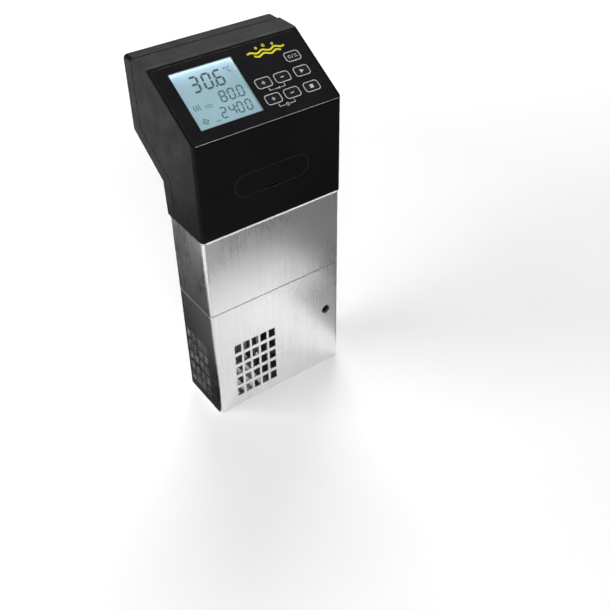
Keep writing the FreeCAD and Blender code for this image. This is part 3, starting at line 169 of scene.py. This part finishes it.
def moulded(name, dark, light, rough, grain=0.02, grain_size=1500, soft_edge=0.0006, wear=0.5,
            shine=0.25):
    """Satin moulded plastic: fine spark-eroded grain, faint clouding, edges rubbed a little lighter."""
    look = Look(name, Specular_IOR_Level=shine)
    body = look.blend(look.clouds(22), dark, light)
    rubbed = tuple(min(1, c * 2.2 + 0.02) for c in light)
    look.colour(look.blend(look.worn_edges(0.0007, wear), body, rubbed))
    fine = look.noise(grain_size, 2)
    patch = look.ramp(look.noise(60, 3), rough - 0.05, rough + 0.07, 0.3, 0.7)
    look.rough(look.maths("ADD", patch, look.ramp(fine, -0.04, 0.04)))
    look.bump(look.maths("ADD", fine, look.maths("MULTIPLY", look.spots(grain_size * 0.7), 0.5)),
              grain * MM, 0.8, soft_edge)
    return look


def brushed(name, dark, light, rough, stretch=(900, 900, 9), scratch=0.004):
    """Brushed stainless steel. stretch sets the way of the grain: the small number is along it."""
    look = Look(name, Metallic=1.0, Anisotropic=0.2)
    grain = look.noise(1.0, 4, 0.65, look.stretched(stretch))
    coarse = look.noise(1.0, 2, 0.5, look.stretched(tuple(s * 0.16 for s in stretch)))
    smear = look.noise(14, 3, 0.6)
    tone = look.maths("ADD", look.maths("MULTIPLY", grain, 0.75), look.maths("MULTIPLY", coarse, 0.25))
    tone = look.maths("ADD", tone, look.ramp(smear, -0.12, 0.12, 0.3, 0.7))
    look.colour(look.blend(look.ramp(tone, 0.0, 1.0, 0.2, 0.8), dark, light))
    wiped = look.ramp(smear, -0.05, 0.06, 0.3, 0.7)
    look.rough(look.maths("ADD", look.ramp(grain, rough - 0.025, rough + 0.03, 0.3, 0.7), wiped))
    look.bump(grain, scratch * MM, 0.7, 0.0004)
    return look


def turned_metal(name, dark, light, rough, metallic=1.0):
    """Machined or plated metal: fine tool marks and a little tarnish."""
    look = Look(name, Metallic=metallic)
    look.colour(look.blend(look.clouds(160), light, dark))
    look.rough(look.ramp(look.noise(700, 3), rough - 0.06, rough + 0.1, 0.3, 0.7))
    look.bump(look.noise(1800, 2), 0.004 * MM, 0.6, 0.0003)
    return look


def glossy(name, dark, light, rough, ripple=0.004):
    """Smooth glossy plastic or film, with a slight ripple and faint wiping marks."""
    look = Look(name, Specular_IOR_Level=0.5)
    look.colour(look.blend(look.clouds(35), dark, light))
    wiped = look.noise(1.0, 4, 0.6, look.stretched((60, 240, 240)))
    look.rough(look.ramp(wiped, rough - 0.03, rough + 0.05, 0.3, 0.7))
    look.bump(look.noise(420, 2), ripple * MM, 0.6, 0.0003)
    return look


def board(name):
    """Solder mask over copper tracks, seen as faint lighter lines."""
    look = Look(name, Roughness=0.35)
    tracks = look.add("ShaderNodeTexBrick", ("Vector", look.stretched((260, 260, 260), (0.5, 0.3, 0))),
                      Scale=1.0, Mortar_Size=0.06).outputs["Fac"]
    copper = look.maths("MULTIPLY", tracks, look.ramp(look.noise(90, 2), 0.0, 1.0, 0.45, 0.55))
    look.colour(look.blend(copper, (0.015, 0.13, 0.05), (0.06, 0.3, 0.11)))
    look.bump(copper, 0.03 * MM, 0.6)
    return look


def display():
    """The lit liquid crystal: pale blue, brighter along its upper edge where the lamp is."""
    look = Look("display_glow", Roughness=0.35)
    along = look.add("ShaderNodeSeparateXYZ", ("Vector", look.place)).outputs["Z"]
    climb = look.ramp(along, 0.0, 1.0, *LCD_LEVELS)
    lamp = look.maths("POWER", climb, 9.0)
    mottle = look.ramp(look.noise(60, 3), 0.94, 1.05, 0.3, 0.7)
    base = look.blend(climb, (0.285, 0.425, 0.475), (0.295, 0.435, 0.485))
    glow = look.blend(lamp, base, (0.66, 0.86, 1.0))
    lit = look.add("ShaderNodeVectorMath", ("Vector", glow), operation="SCALE")
    look.tree.links.new(mottle, lit.inputs["Scale"])
    look.colour(lit.outputs["Vector"])
    look.tree.links.new(lit.outputs["Vector"], look.shader.inputs["Emission Color"])
    look.shader.inputs["Emission Strength"].default_value = 0.45
    look.bump(look.noise(1500, 2), 0.003 * MM, 0.5)
    return look


def light_guide():
    """The frosted frame round the crystal, which carries the lamp's light down from its upper edge."""
    look = Look("light_guide", Roughness=0.5)
    climb = look.add("ShaderNodeSeparateXYZ", ("Vector", look.place)).outputs["Z"]
    near = look.maths("POWER", look.ramp(climb, 0.0, 1.0, *LCD_LEVELS), 6.0)
    tone = look.blend(near, (0.24, 0.36, 0.40), (0.47, 0.62, 0.70))
    look.colour(tone)
    look.tree.links.new(tone, look.shader.inputs["Emission Color"])
    look.tree.links.new(look.ramp(near, 0.35, 0.95), look.shader.inputs["Emission Strength"])
    look.bump(look.noise(900, 2), 0.01 * MM, 0.5)
    return look


def ink(name, tone, worn, thick=0.02):
    """Screen printed ink, slightly thin in places."""
    look = Look(name, Roughness=0.42)
    look.colour(look.blend(look.ramp(look.noise(520, 4), 0.0, 1.0, 0.42, 0.75), tone, worn))
    look.bump(look.noise(1600, 2), thick * MM, 0.5)
    return look


def window():
    """The clear display window: polycarbonate with a hard coat and faint dust."""
    look = Look("window_clear", Transmission_Weight=1.0, IOR=1.16, Base_Color=(0.96, 0.985, 0.99, 1))
    look.rough(look.ramp(look.noise(300, 4), 0.0, 0.05, 0.55, 0.8))
    return look


def rubber(name, dark, light):
    look = Look(name, Specular_IOR_Level=0.3)
    look.colour(look.blend(look.clouds(120), dark, light))
    look.rough(look.ramp(look.noise(900, 3), 0.68, 0.86))
    look.bump(look.noise(1300, 3), 0.03 * MM, 0.7, 0.0004)
    return look


def laminated():
    """The transformer: a stack of varnished steel sheets."""
    look = Look("laminations", Metallic=0.7)
    sheets = look.add("ShaderNodeTexWave", ("Vector", look.place), bands_direction="Z", Scale=320.0,
                      Distortion=0.4).outputs["Fac"]
    look.colour(look.blend(sheets, (0.06, 0.05, 0.045), (0.24, 0.22, 0.2)))
    look.rough(look.ramp(look.noise(300, 3), 0.35, 0.6))
    look.bump(sheets, 0.08 * MM, 0.7)
    return look


LOOKS = {
    "front_housing rear_cover access_cover":
        moulded("head_plastic", (0.0022, 0.0022, 0.0024), (0.0037, 0.0037, 0.0039), 0.44, shine=0.10),
    "control_panel":
        glossy("panel_film", (0.004, 0.004, 0.005), (0.007, 0.007, 0.008), 0.15),
    " ".join(KEYS):
        glossy("key_film", (0.007, 0.007, 0.008), (0.013, 0.013, 0.014), 0.24, 0.006),
    "lcd_window": window(),
    "lcd_module": display(),
    "lcd_bezel": light_guide(),
    "control_board power_board": board("solder_mask"),
    "key_switches heater_relay board_rail mains_inlet switch_bezel fuse_holder":
        moulded("switch_plastic", (0.02, 0.02, 0.021), (0.032, 0.032, 0.033), 0.4, 0.012, 2200,
                0.0004, 0.35),
    "power_rocker": glossy("rocker_red", (0.30, 0.012, 0.010), (0.42, 0.022, 0.016), 0.22),
    "fan_frame fan_rotor":
        moulded("fan_plastic", (0.012, 0.012, 0.013), (0.02, 0.02, 0.021), 0.5, 0.01, 2200, 0.0003, 0.2),
    "column_casing lower_skirt joint_collar":
        brushed("brushed_steel", (0.77, 0.77, 0.765), (0.93, 0.93, 0.925), 0.28, (1500, 1500, 14),
                0.0003),
    "deck_plate": brushed("plate_edge", (0.66, 0.66, 0.65), (0.86, 0.86, 0.85), 0.22, (9, 900, 900)),
    "clamp_bracket": brushed("clamp_steel", (0.42, 0.42, 0.415), (0.7, 0.7, 0.69), 0.3, (9, 900, 900)),
    "drive_shaft shaft_tube shaft_coupling pump_cover pump_housing float_stem temperature_probe "
    "heating_element element_nuts motor_standoffs motor_bracket clamp_screw clamp_pad":
        turned_metal("machined_steel", (0.38, 0.38, 0.38), (0.62, 0.62, 0.61), 0.26),
    "control_board_screws deck_screws rear_cover_screws bracket_screws":
        turned_metal("screw_steel", (0.45, 0.45, 0.45), (0.74, 0.74, 0.73), 0.2),
    "inlet_pins": turned_metal("pin_brass", (0.42, 0.28, 0.10), (0.72, 0.55, 0.25), 0.22),
    "motor_can motor_rotor":
        turned_metal("motor_paint", (0.05, 0.055, 0.06), (0.1, 0.105, 0.11), 0.4, 0.3),
    "transformer": laminated(),
    "filter_capacitor": glossy("capacitor_sleeve", (0.01, 0.03, 0.13), (0.02, 0.05, 0.2), 0.25),
    "heatsink": turned_metal("heatsink_metal", (0.32, 0.32, 0.33), (0.55, 0.55, 0.56), 0.38),
    "deck_gasket wall_pad": rubber("rubber_black", (0.012, 0.012, 0.012), (0.024, 0.024, 0.024)),
    "impeller shaft_bushes level_float":
        moulded("pump_plastic", (0.55, 0.54, 0.5), (0.68, 0.67, 0.63), 0.4, 0.01, 1800, 0.0004, 0.1),
    "clamp_knob":
        moulded("knob_plastic", (0.012, 0.012, 0.013), (0.02, 0.02, 0.021), 0.5, 0.04, 900, 0.0006, 0.5),
}
for names, look in LOOKS.items():
    for name in names.split():
        NODES[name].data.materials.clear()
        NODES[name].data.materials.append(look.material)

WHITE_INK = ink("ink_white", (0.62, 0.62, 0.61), (0.36, 0.36, 0.35))
YELLOW_INK = ink("ink_yellow", (0.80, 0.72, 0.02), (0.62, 0.54, 0.02))
SEGMENT_INK = ink("lcd_segment", (0.085, 0.120, 0.135), (0.120, 0.160, 0.180), 0.004)
# Light grey ink for the panel's front edge: a painted highlight on the bend.
EDGE_HIGHLIGHT_INK = ink("film_edge_painted_highlight", (0.50, 0.50, 0.50), (0.30, 0.30, 0.30))
LINE_INK = ink("ink_grey", (0.13, 0.14, 0.145), (0.08, 0.085, 0.09))
GHOST_INK = ink("lcd_faint", (0.17, 0.25, 0.28), (0.20, 0.29, 0.32), 0.004)


# ---- flat prints on the panel, in millimetres across and up the slope ------------------------------

def arc(x, y, radius, start, end, steps=8):
    """Points on an arc, from start to end in degrees."""
    return [(x + radius * math.cos(math.radians(start + (end - start) * i / steps)),
             y + radius * math.sin(math.radians(start + (end - start) * i / steps)))
            for i in range(steps + 1)]


def rounded(x, y, wide, high, radius):
    """The corner-rounded rectangle about x, y, as a closed run of points."""
    points = []
    for turn, (i, j) in enumerate(((1, 1), (-1, 1), (-1, -1), (1, -1))):
        points += arc(x + i * (wide / 2 - radius), y + j * (high / 2 - radius), radius,
                      90 * turn, 90 * turn + 90, 7)
    return points


def strip(points, width, closed=False):
    """The outline quads of a line of that width through the points, mitred at its corners."""
    count = len(points)
    sides = []
    for i, (x, y) in enumerate(points):
        ahead = points[(i + 1) % count] if closed or i < count - 1 else None
        behind = points[i - 1] if closed or i else None
        ways = []
        for a, b in ((behind, (x, y)), ((x, y), ahead)):
            if a and b:
                ways.append(Vector((b[0] - a[0], b[1] - a[1])).normalized())
        way = sum(ways, Vector((0, 0))).normalized()
        normal = Vector((-way.y, way.x))
        reach = width / 2 / max(0.4, normal.dot(Vector((-ways[0].y, ways[0].x))))
        across, up = normal.x * reach, normal.y * reach
        sides.append(((x + across, y + up), (x - across, y - up)))
    pairs = [(i, (i + 1) % count) for i in range(count if closed else count - 1)]
    return [[sides[a][0], sides[a][1], sides[b][1], sides[b][0]] for a, b in pairs]


def printed(name, shapes, out, look, body="housing", thick=0.05):
    """A thin raised print made of flat shapes, each a loop of points, at height out over the slope."""
    mesh = bmesh.new()
    for loop in shapes:
        area = sum(a[0] * b[1] - b[0] * a[1] for a, b in zip(loop, loop[1:] + loop[:1]))
        if area < 0:
            loop = loop[::-1]
        top = [mesh.verts.new((x * MM, y * MM, (out + thick) * MM)) for x, y in loop]
        low = [mesh.verts.new((x * MM, y * MM, out * MM)) for x, y in loop]
        mesh.faces.new(top)
        mesh.faces.new(low[::-1])
        for i in range(len(loop)):
            j = (i + 1) % len(loop)
            mesh.faces.new((low[i], low[j], top[j], top[i]))
    bmesh.ops.remove_doubles(mesh, verts=mesh.verts, dist=1e-6)
    inner = [f for f in mesh.faces if sum(len(e.link_faces) > 2 for e in f.edges) >= 4]
    bmesh.ops.delete(mesh, geom=inner, context="FACES_ONLY")
    data = bpy.data.meshes.new(name)
    mesh.to_mesh(data)
    mesh.free()
    data.materials.append(look.material)
    thing = bpy.data.objects.new(name, data)
    thing.matrix_world = PANEL
    SCENE.collection.objects.link(thing)
    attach(thing, body)
    return thing


# ---- display ------------------------------------------------------------------------------------

SEGMENTS = {"0": "abcdef", "1": "bc", "2": "abged", "3": "abgcd", "4": "fgbc", "5": "afgcd",
            "6": "afgedc", "7": "abc", "8": "abcdefg", "9": "abcdfg", "C": "afed"}
LCD_SLANT = 0.10


def on_lcd(u, v):
    """Shares of the display's width and height, from its upper left, as panel millimetres."""
    return (LCD_CENTRE[0] + (u - 0.5) * LCD_SIZE[0], LCD_CENTRE[1] + (0.5 - v) * LCD_SIZE[1])


def digit(sign, u, v, wide, high, bar):
    """The lit bars of one seven-bar digit, centred at u, v."""
    x, y = on_lcd(u, v)
    gap = bar * 0.14
    ends = {"a": ((-1, 1), (1, 1)), "b": ((1, 1), (1, 0)), "c": ((1, 0), (1, -1)),
            "d": ((-1, -1), (1, -1)), "e": ((-1, 0), (-1, -1)), "f": ((-1, 1), (-1, 0)),
            "g": ((-1, 0), (1, 0))}
    half_wide, half_high = (wide - bar) / 2, (high - bar) / 2
    shapes = []
    for name in SEGMENTS[sign]:
        (ax, ay), (bx, by) = ends[name]
        a = Vector((ax * half_wide, ay * half_high))
        b = Vector((bx * half_wide, by * half_high))
        way = (b - a).normalized()
        side = Vector((-way.y, way.x)) * bar / 2
        a, b = a + way * gap, b - way * gap
        tip = way * bar / 2
        loop = [a, a + tip + side, b - tip + side, b, b - tip - side, a + tip - side]
        shapes.append([(x + p.x + p.y * LCD_SLANT, y + p.y) for p in loop])
    return shapes


def dot(u, v, size):
    x, y = on_lcd(u, v)
    return [[(x + i * size / 2, y + j * size / 2) for i, j in ((1, 1), (-1, 1), (-1, -1), (1, -1))]]


# Each row: its digits, their places across, its level, their width, height and bar, and its dots.
ROWS = (
    ("306", (0.30, 0.50, 0.69), 0.245, (8.3, 15.6, 1.9), ((0.592, 0.370, 1.7),)),
    ("800", (0.585, 0.725, 0.875), 0.56, (6.0, 10.8, 1.25), ((0.797, 0.645, 1.1),)),
    ("2400", (0.463, 0.607, 0.735, 0.873), 0.815, (5.6, 10.4, 1.2),
     ((0.672, 0.785, 0.9), (0.668, 0.85, 0.9))),
)
reading = []
for signs, places, level, size, dots in ROWS:
    for sign, u in zip(signs, places):
        reading += digit(sign, u, level, *size)
    for spot in dots:
        reading += dot(*spot)
reading += strip(arc(*on_lcd(0.845, 0.125), 1.0, 0, 330, 10), 0.5)
reading += digit("C", 0.905, 0.155, 3.0, 5.2, 0.65)
for step in (-2.2, 0.0, 2.2):                      # rising heat
    x, y = on_lcd(0.135, 0.62)
    reading += strip([(x + step + 0.45 * math.sin(t * 1.1), y - 2.6 + t * 0.66) for t in range(9)], 0.75)
x, y = on_lcd(0.15, 0.865)                         # the turning fan
BLADE_WAY = 1.3
for turn in (25, 115, 205, 295):
    hub = math.radians(turn)
    reading += strip(arc(x + BLADE_WAY * math.cos(hub), y + BLADE_WAY * math.sin(hub), 1.2,
                         turn - 150, turn + 20, 6), 0.8)
LCD_INK_OUT = LCD_FACE + 0.04
printed("lcd_reading", reading, LCD_INK_OUT, SEGMENT_INK)
faint = []
x, y = on_lcd(0.31, 0.63)                          # water level
for row in (-1.6, 0.2):
    faint += strip([(x - 3.4 + t * 0.85, y + row + 0.35 * math.sin(t * 1.6)) for t in range(9)], 0.6)
x, y = on_lcd(0.325, 0.915)
faint += strip([(x - 2.2, y), (x + 2.2, y)], 0.8)
printed("lcd_faint_signs", faint, LCD_INK_OUT, GHOST_INK)


# ---- keys and panel print ---------------------------------------------------------------------------

SIGN_REACH = 1.7
SIGN_LINE = 0.75


def key_sign(name, x, y):
    """What is printed on that key: plus, minus, start, stop, or on the top key three plain signs."""
    left, right, low, high = x - SIGN_REACH, x + SIGN_REACH, y - SIGN_REACH, y + SIGN_REACH
    if name.endswith("_up"):
        bars = ([(left, y), (x - SIGN_LINE / 2, y)], [(x + SIGN_LINE / 2, y), (right, y)],
                [(x, low), (x, high)])
        return sum((strip(bar, SIGN_LINE) for bar in bars), [])
    if name.endswith("_down"):
        return strip([(left, y), (right, y)], SIGN_LINE)
    if name == "key_start":
        return [[(x - 1.5, y - 1.9), (x + 2.0, y), (x - 1.5, y + 1.9)]]
    if name == "key_stop":
        return [[(left, low), (right, low), (right, high), (left, high)]]
    signs = strip([(x - 0.9, y - 1.6), (x + 0.9, y + 1.6)], 0.5)
    signs += strip(arc(x - 3.0, y, 1.2, 20, 340, 10), 0.5)
    return signs + strip([(x + 1.8, y + 0.9), (x + 4.4, y + 0.9)], 0.5) + \
        strip([(x + 1.8, y - 0.9), (x + 4.4, y - 0.9)], 0.5)


for name, (x, y) in KEYS.items():
    ring = strip(rounded(x, y, *KEY_SIZE, KEY_ROUND), KEY_LINE, True)
    printed("print_" + name, ring + key_sign(name, x, y), KEY_FACE, WHITE_INK, name + "_cap", INK_THICK)

# Under each pair of keys, a bracket with a sign in the gap of its line.
for sign, room in (("temp", 3.6), ("time", 2.4)):
    row = KEYS[f"key_{sign}_up"][1]
    left, right, low, top = 15.6, 30.6, row - 8.2, row - 5.3
    middle = (left + right) / 2
    lines = strip([(left, top), (left, low), (middle - room, low)], 0.5)
    lines += strip([(middle + room, low), (right, low), (right, top)], 0.5)
    if sign == "temp":                              # a small thermometer
        lines += strip([(middle - 2.6, low), (middle + 1.0, low)], 0.8)
        lines += strip(arc(middle + 1.8, low, 0.55, 0, 330, 10), 0.7)
    else:                                           # a small clock face
        lines += strip(arc(middle, low, 1.35, 0, 345, 14), 0.5)
        lines += strip([(middle, low + 0.9), (middle, low), (middle + 0.7, low - 0.3)], 0.35)
    printed("print_pair_" + sign, lines, 0.0, WHITE_INK, thick=INK_THICK)

waves = []                                          # a plain mark: two broad waves and three bubbles
MARK_LEFT, MARK_LEVEL, MARK_WIDE = 15.0, 62.6, 36
WAVE_STEPS = 40
for lift, start, end in ((0.0, 0.0, 1.0), (-3.4, 0.14, 0.86)):
    run = [start + (end - start) * t / WAVE_STEPS for t in range(WAVE_STEPS + 1)]
    waves += strip([(MARK_LEFT + MARK_WIDE * t, MARK_LEVEL + lift + math.sin(t * 6 * math.pi))
                    for t in run], 1.7)
for x, y, radius in ((25.5, 66.6, 0.85), (33.0, 67.4, 1.15), (41.5, 66.6, 0.85)):
    waves += strip(arc(x, y, radius, 0, 342, 14), 0.8)
printed("print_wave_mark", waves, 0.0, YELLOW_INK, thick=INK_THICK)

# A light grey strip along the film's front edge is a painted highlight on the bend, and a pale line runs
# round the display.
FILM_HALF, FILM_EDGE = 68.0, 0.42
edge = strip([(-FILM_HALF, FILM_EDGE), (FILM_HALF, FILM_EDGE)], 0.34)
printed("panel_front_edge_highlight", edge, -0.02, EDGE_HIGHLIGHT_INK)
frame_line = strip(rounded(*LCD_CENTRE, LCD_SIZE[0] + 0.5, LCD_SIZE[1] + 0.5, 0.5), 0.35, True)
printed("print_display_line", frame_line, 0.0, LINE_INK, thick=0.02)


# ---- trim on the front: the deck plate's rounded edge and the access cover's lip, both lighter as painted highlights ---

def rolled_edge(name, half_wide, front, height, radius, look):
    """The rounded front edge of the plate: a flat bead with tapered ends."""
    flat, taper, end_size, sides = 0.7, 0.8, 0.3, 12
    turns = [math.radians(360 / sides * step) for step in range(sides)]
    mesh = bmesh.new()
    rings = []
    for x, size in ((-half_wide, end_size), (taper - half_wide, 1), (half_wide - taper, 1),
                    (half_wide, end_size)):
        rings.append([mesh.verts.new((x * MM, (front - flat * radius * size * math.cos(turn)) * MM,
                                      (height + radius * size * math.sin(turn)) * MM))
                      for turn in turns])
    for low, high in zip(rings, rings[1:]):
        for i in range(sides):
            j = (i + 1) % sides
            mesh.faces.new((low[i], low[j], high[j], high[i]))
    mesh.faces.new(rings[0][::-1])
    mesh.faces.new(rings[-1])
    bmesh.ops.recalc_face_normals(mesh, faces=mesh.faces)
    data = bpy.data.meshes.new(name)
    mesh.to_mesh(data)
    mesh.free()
    data.materials.append(look.material)
    thing = bpy.data.objects.new(name, data)
    SCENE.collection.objects.link(thing)
    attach(thing, "housing")


# A real rounded edge, coloured near-white and hardly metallic: a painted highlight along the deck
# plate's front.
edge_highlight_look = Look("deck_edge_painted_highlight", Metallic=0.08, Base_Color=(0.95, 0.95, 0.94, 1))
edge_highlight_look.rough(edge_highlight_look.ramp(edge_highlight_look.noise(1.0, 3, 0.6, edge_highlight_look.stretched((30, 900, 900))), 0.22, 0.34, 0.3, 0.7))
edge_highlight_look.bump(edge_highlight_look.noise(900, 2), 0.004 * MM, 0.5)
rolled_edge("deck_front_edge", half_wide=67.5, front=HEAD_FRONT, height=200.3, radius=0.85, look=edge_highlight_look)

COVER_HEIGHT, COVER_REACH, COVER_RADIUS = 241.2, 26.3, 9.7
LIP_RADIUS = COVER_RADIUS + 0.55
lip_loop = arc(COVER_REACH, 0, LIP_RADIUS, -90, 90, 16) + arc(-COVER_REACH, 0, LIP_RADIUS, 90, 270, 16)
# A lighter strip round the cover's opening: a painted highlight on its rounded lip.
lip = printed("access_cover_lip_highlight", strip(lip_loop, 0.34, True), 0.0,
              moulded("lip_painted_highlight", (0.028, 0.028, 0.029), (0.042, 0.042, 0.043), 0.3), thick=0.06)
cover_place = Matrix.Translation(Vector((0, HEAD_FRONT, COVER_HEIGHT)) * MM)
lip.matrix_world = cover_place @ Matrix.Rotation(math.radians(90), 4, "X")


# ---- floor, light and camera ----------------------------------------------------------------------

FLOOR_HALF = 6.0
corners = [(i * FLOOR_HALF, j * FLOOR_HALF, 0) for i, j in ((-1, -1), (1, -1), (1, 1), (-1, 1))]
floor_mesh = bpy.data.meshes.new("floor")
floor_mesh.from_pydata(corners, [], [(0, 1, 2, 3)])
floor = bpy.data.objects.new("floor", floor_mesh)
floor.location.z = min(0.0, cad_box[0].z)
SCENE.collection.objects.link(floor)
paper = Look("paper", Roughness=0.7, Emission_Color=(1, 1, 1, 1))
paper.colour(paper.blend(paper.noise(3, 2), (0.88, 0.88, 0.88), (0.92, 0.92, 0.92)))
# The floor glows more with distance from the middle: painted light, darker round the object and brighter
# far off.
away = paper.add("ShaderNodeVectorMath", ("Vector", paper.place), operation="LENGTH").outputs["Value"]
paper.tree.links.new(paper.ramp(away, 0.10, 0.80, 0.5, 2.4), paper.shader.inputs["Emission Strength"])
floor_mesh.materials.append(paper.material)

# A pale wall all round, for the camera only, so that low views end on the same white as the floor.
WALL_RADIUS, WALL_FOOT, WALL_TOP, WALL_SIDES = 4.0, -0.1, 6.0, 60
wall_mesh = bpy.data.meshes.new("backdrop")
ring = arc(0, 0, WALL_RADIUS, 0, 360, WALL_SIDES)[:WALL_SIDES]
wall_mesh.from_pydata([(x, y, z) for z in (WALL_FOOT, WALL_TOP) for x, y in ring], [],
                      [(i, (i + 1) % WALL_SIDES, WALL_SIDES + (i + 1) % WALL_SIDES, WALL_SIDES + i)
                       for i in range(WALL_SIDES)])
backdrop = bpy.data.objects.new("backdrop", wall_mesh)
backdrop.location.z = floor.location.z
SCENE.collection.objects.link(backdrop)
for ray in ("glossy", "diffuse", "transmission", "shadow"):
    setattr(backdrop, "visible_" + ray, False)
pale = Look("backdrop_paper", Roughness=1.0, Specular_IOR_Level=0.0, Emission_Color=(1, 1, 1, 1),
            Emission_Strength=0.78)
pale.colour(pale.blend(pale.noise(1, 2), (0.50, 0.50, 0.50), (0.54, 0.54, 0.54)))
wall_mesh.materials.append(pale.material)


def area_light(name, place, aim, size, watts):
    lamp = bpy.data.lights.new(name, "AREA")
    lamp.shape = "RECTANGLE"
    lamp.size, lamp.size_y = size
    lamp.energy = watts
    light = bpy.data.objects.new(name, lamp)
    light.location = place
    light.rotation_euler = (Vector(aim) - Vector(place)).to_track_quat("-Z", "Y").to_euler()
    SCENE.collection.objects.link(light)


MIDDLE = (0, 0.02, 0.18)
area_light("key_light", (-1.6, 0.5, 1.3), MIDDLE, (1.3, 1.3), 26)
area_light("front_light", (-0.7, -1.7, 1.5), (0.1, -0.3, 0), (1.2, 1.0), 24)
area_light("back_light", (0.9, 1.3, 1.8), MIDDLE, (1.2, 1.0), 26)


def flag(name, low, high, look):
    """A card just over the floor, between two corners, that only reflections see."""
    mesh = bpy.data.meshes.new(name)
    height = floor.location.z + 1.0 * MM
    mesh.from_pydata([(low[0], low[1], height), (high[0], low[1], height), (high[0], high[1], height),
                      (low[0], high[1], height)], [], [(0, 1, 2, 3)])
    mesh.materials.append(look.material)
    thing = bpy.data.objects.new(name, mesh)
    for ray in ("camera", "diffuse", "transmission", "shadow"):
        setattr(thing, "visible_" + ray, False)
    SCENE.collection.objects.link(thing)


def card(name, patch, dark, light):
    """Matt card in greys from dark to light."""
    look = Look(name, Roughness=1.0, Specular_IOR_Level=0.0)
    look.colour(look.blend(look.noise(patch, 2), (dark,) * 3, (light,) * 3))
    return look


# They stand in for the dark inside of the pan, which the photo's steel mirrors.
black_card = card("black_card", 30, 0.012, 0.02)
grey_card = card("grey_card", 5, 0.08, 0.22)
pale_card = card("pale_card", 5, 0.25, 0.36)
flag("front_flag", (-0.12, -0.70), (0.60, -0.213), grey_card)
flag("right_flag", (0.138, -0.213), (0.60, -0.02), grey_card)
flag("skirt_flag", (0.088, -0.14), (0.138, -0.02), pale_card)
flag("side_flag", (-0.265, -0.09), (-0.0705, 0.32), black_card)

# A pale studio that is dimmer towards one side, which gives the steel its light and dark parts.
world = bpy.data.worlds.new("studio")
world.use_nodes = True
sky = world.node_tree
around = sky.nodes.new("ShaderNodeTexCoord").outputs["Generated"]
split = sky.nodes.new("ShaderNodeSeparateXYZ")
sky.links.new(around, split.inputs["Vector"])
fade = sky.nodes.new("ShaderNodeMapRange")
for socket, value in (("From Min", -0.9), ("From Max", 0.9), ("To Min", 0.12), ("To Max", 0.18)):
    fade.inputs[socket].default_value = value
sky.links.new(split.outputs["X"], fade.inputs["Value"])
sky.links.new(fade.outputs["Result"], sky.nodes["Background"].inputs["Strength"])
sky.nodes["Background"].inputs["Color"].default_value = (0.96, 0.97, 1.0, 1)
SCENE.world = world
SCENE.view_settings.view_transform = "Standard"

# The camera solved from the photo.
CAMERA_PLACE = (-0.34106, -0.55779, 0.63052)
LENS_LENGTH, SENSOR_WIDTH, LENS_SHIFT = 52.466, 36, -0.0279
AZIMUTH, ELEVATION, ROLL = (math.radians(a) for a in (-36.5, 39.0, -0.1))
BACK = Vector((math.sin(AZIMUTH) * math.cos(ELEVATION), -math.cos(AZIMUTH) * math.cos(ELEVATION),
               math.sin(ELEVATION)))
right = Vector((0, 0, 1)).cross(BACK).normalized()
up = BACK.cross(right)
right, up = (right * math.cos(ROLL) + up * math.sin(ROLL), up * math.cos(ROLL) - right * math.sin(ROLL))
lens = bpy.data.cameras.new("camera")
lens.sensor_width = SENSOR_WIDTH
lens.lens = LENS_LENGTH
lens.shift_x = lens.shift_y = LENS_SHIFT
camera = bpy.data.objects.new("camera", lens)
camera.matrix_world = Matrix.Translation(CAMERA_PLACE) @ \
    Matrix((right, up, BACK)).transposed().to_4x4()
SCENE.collection.objects.link(camera)
SCENE.camera = camera
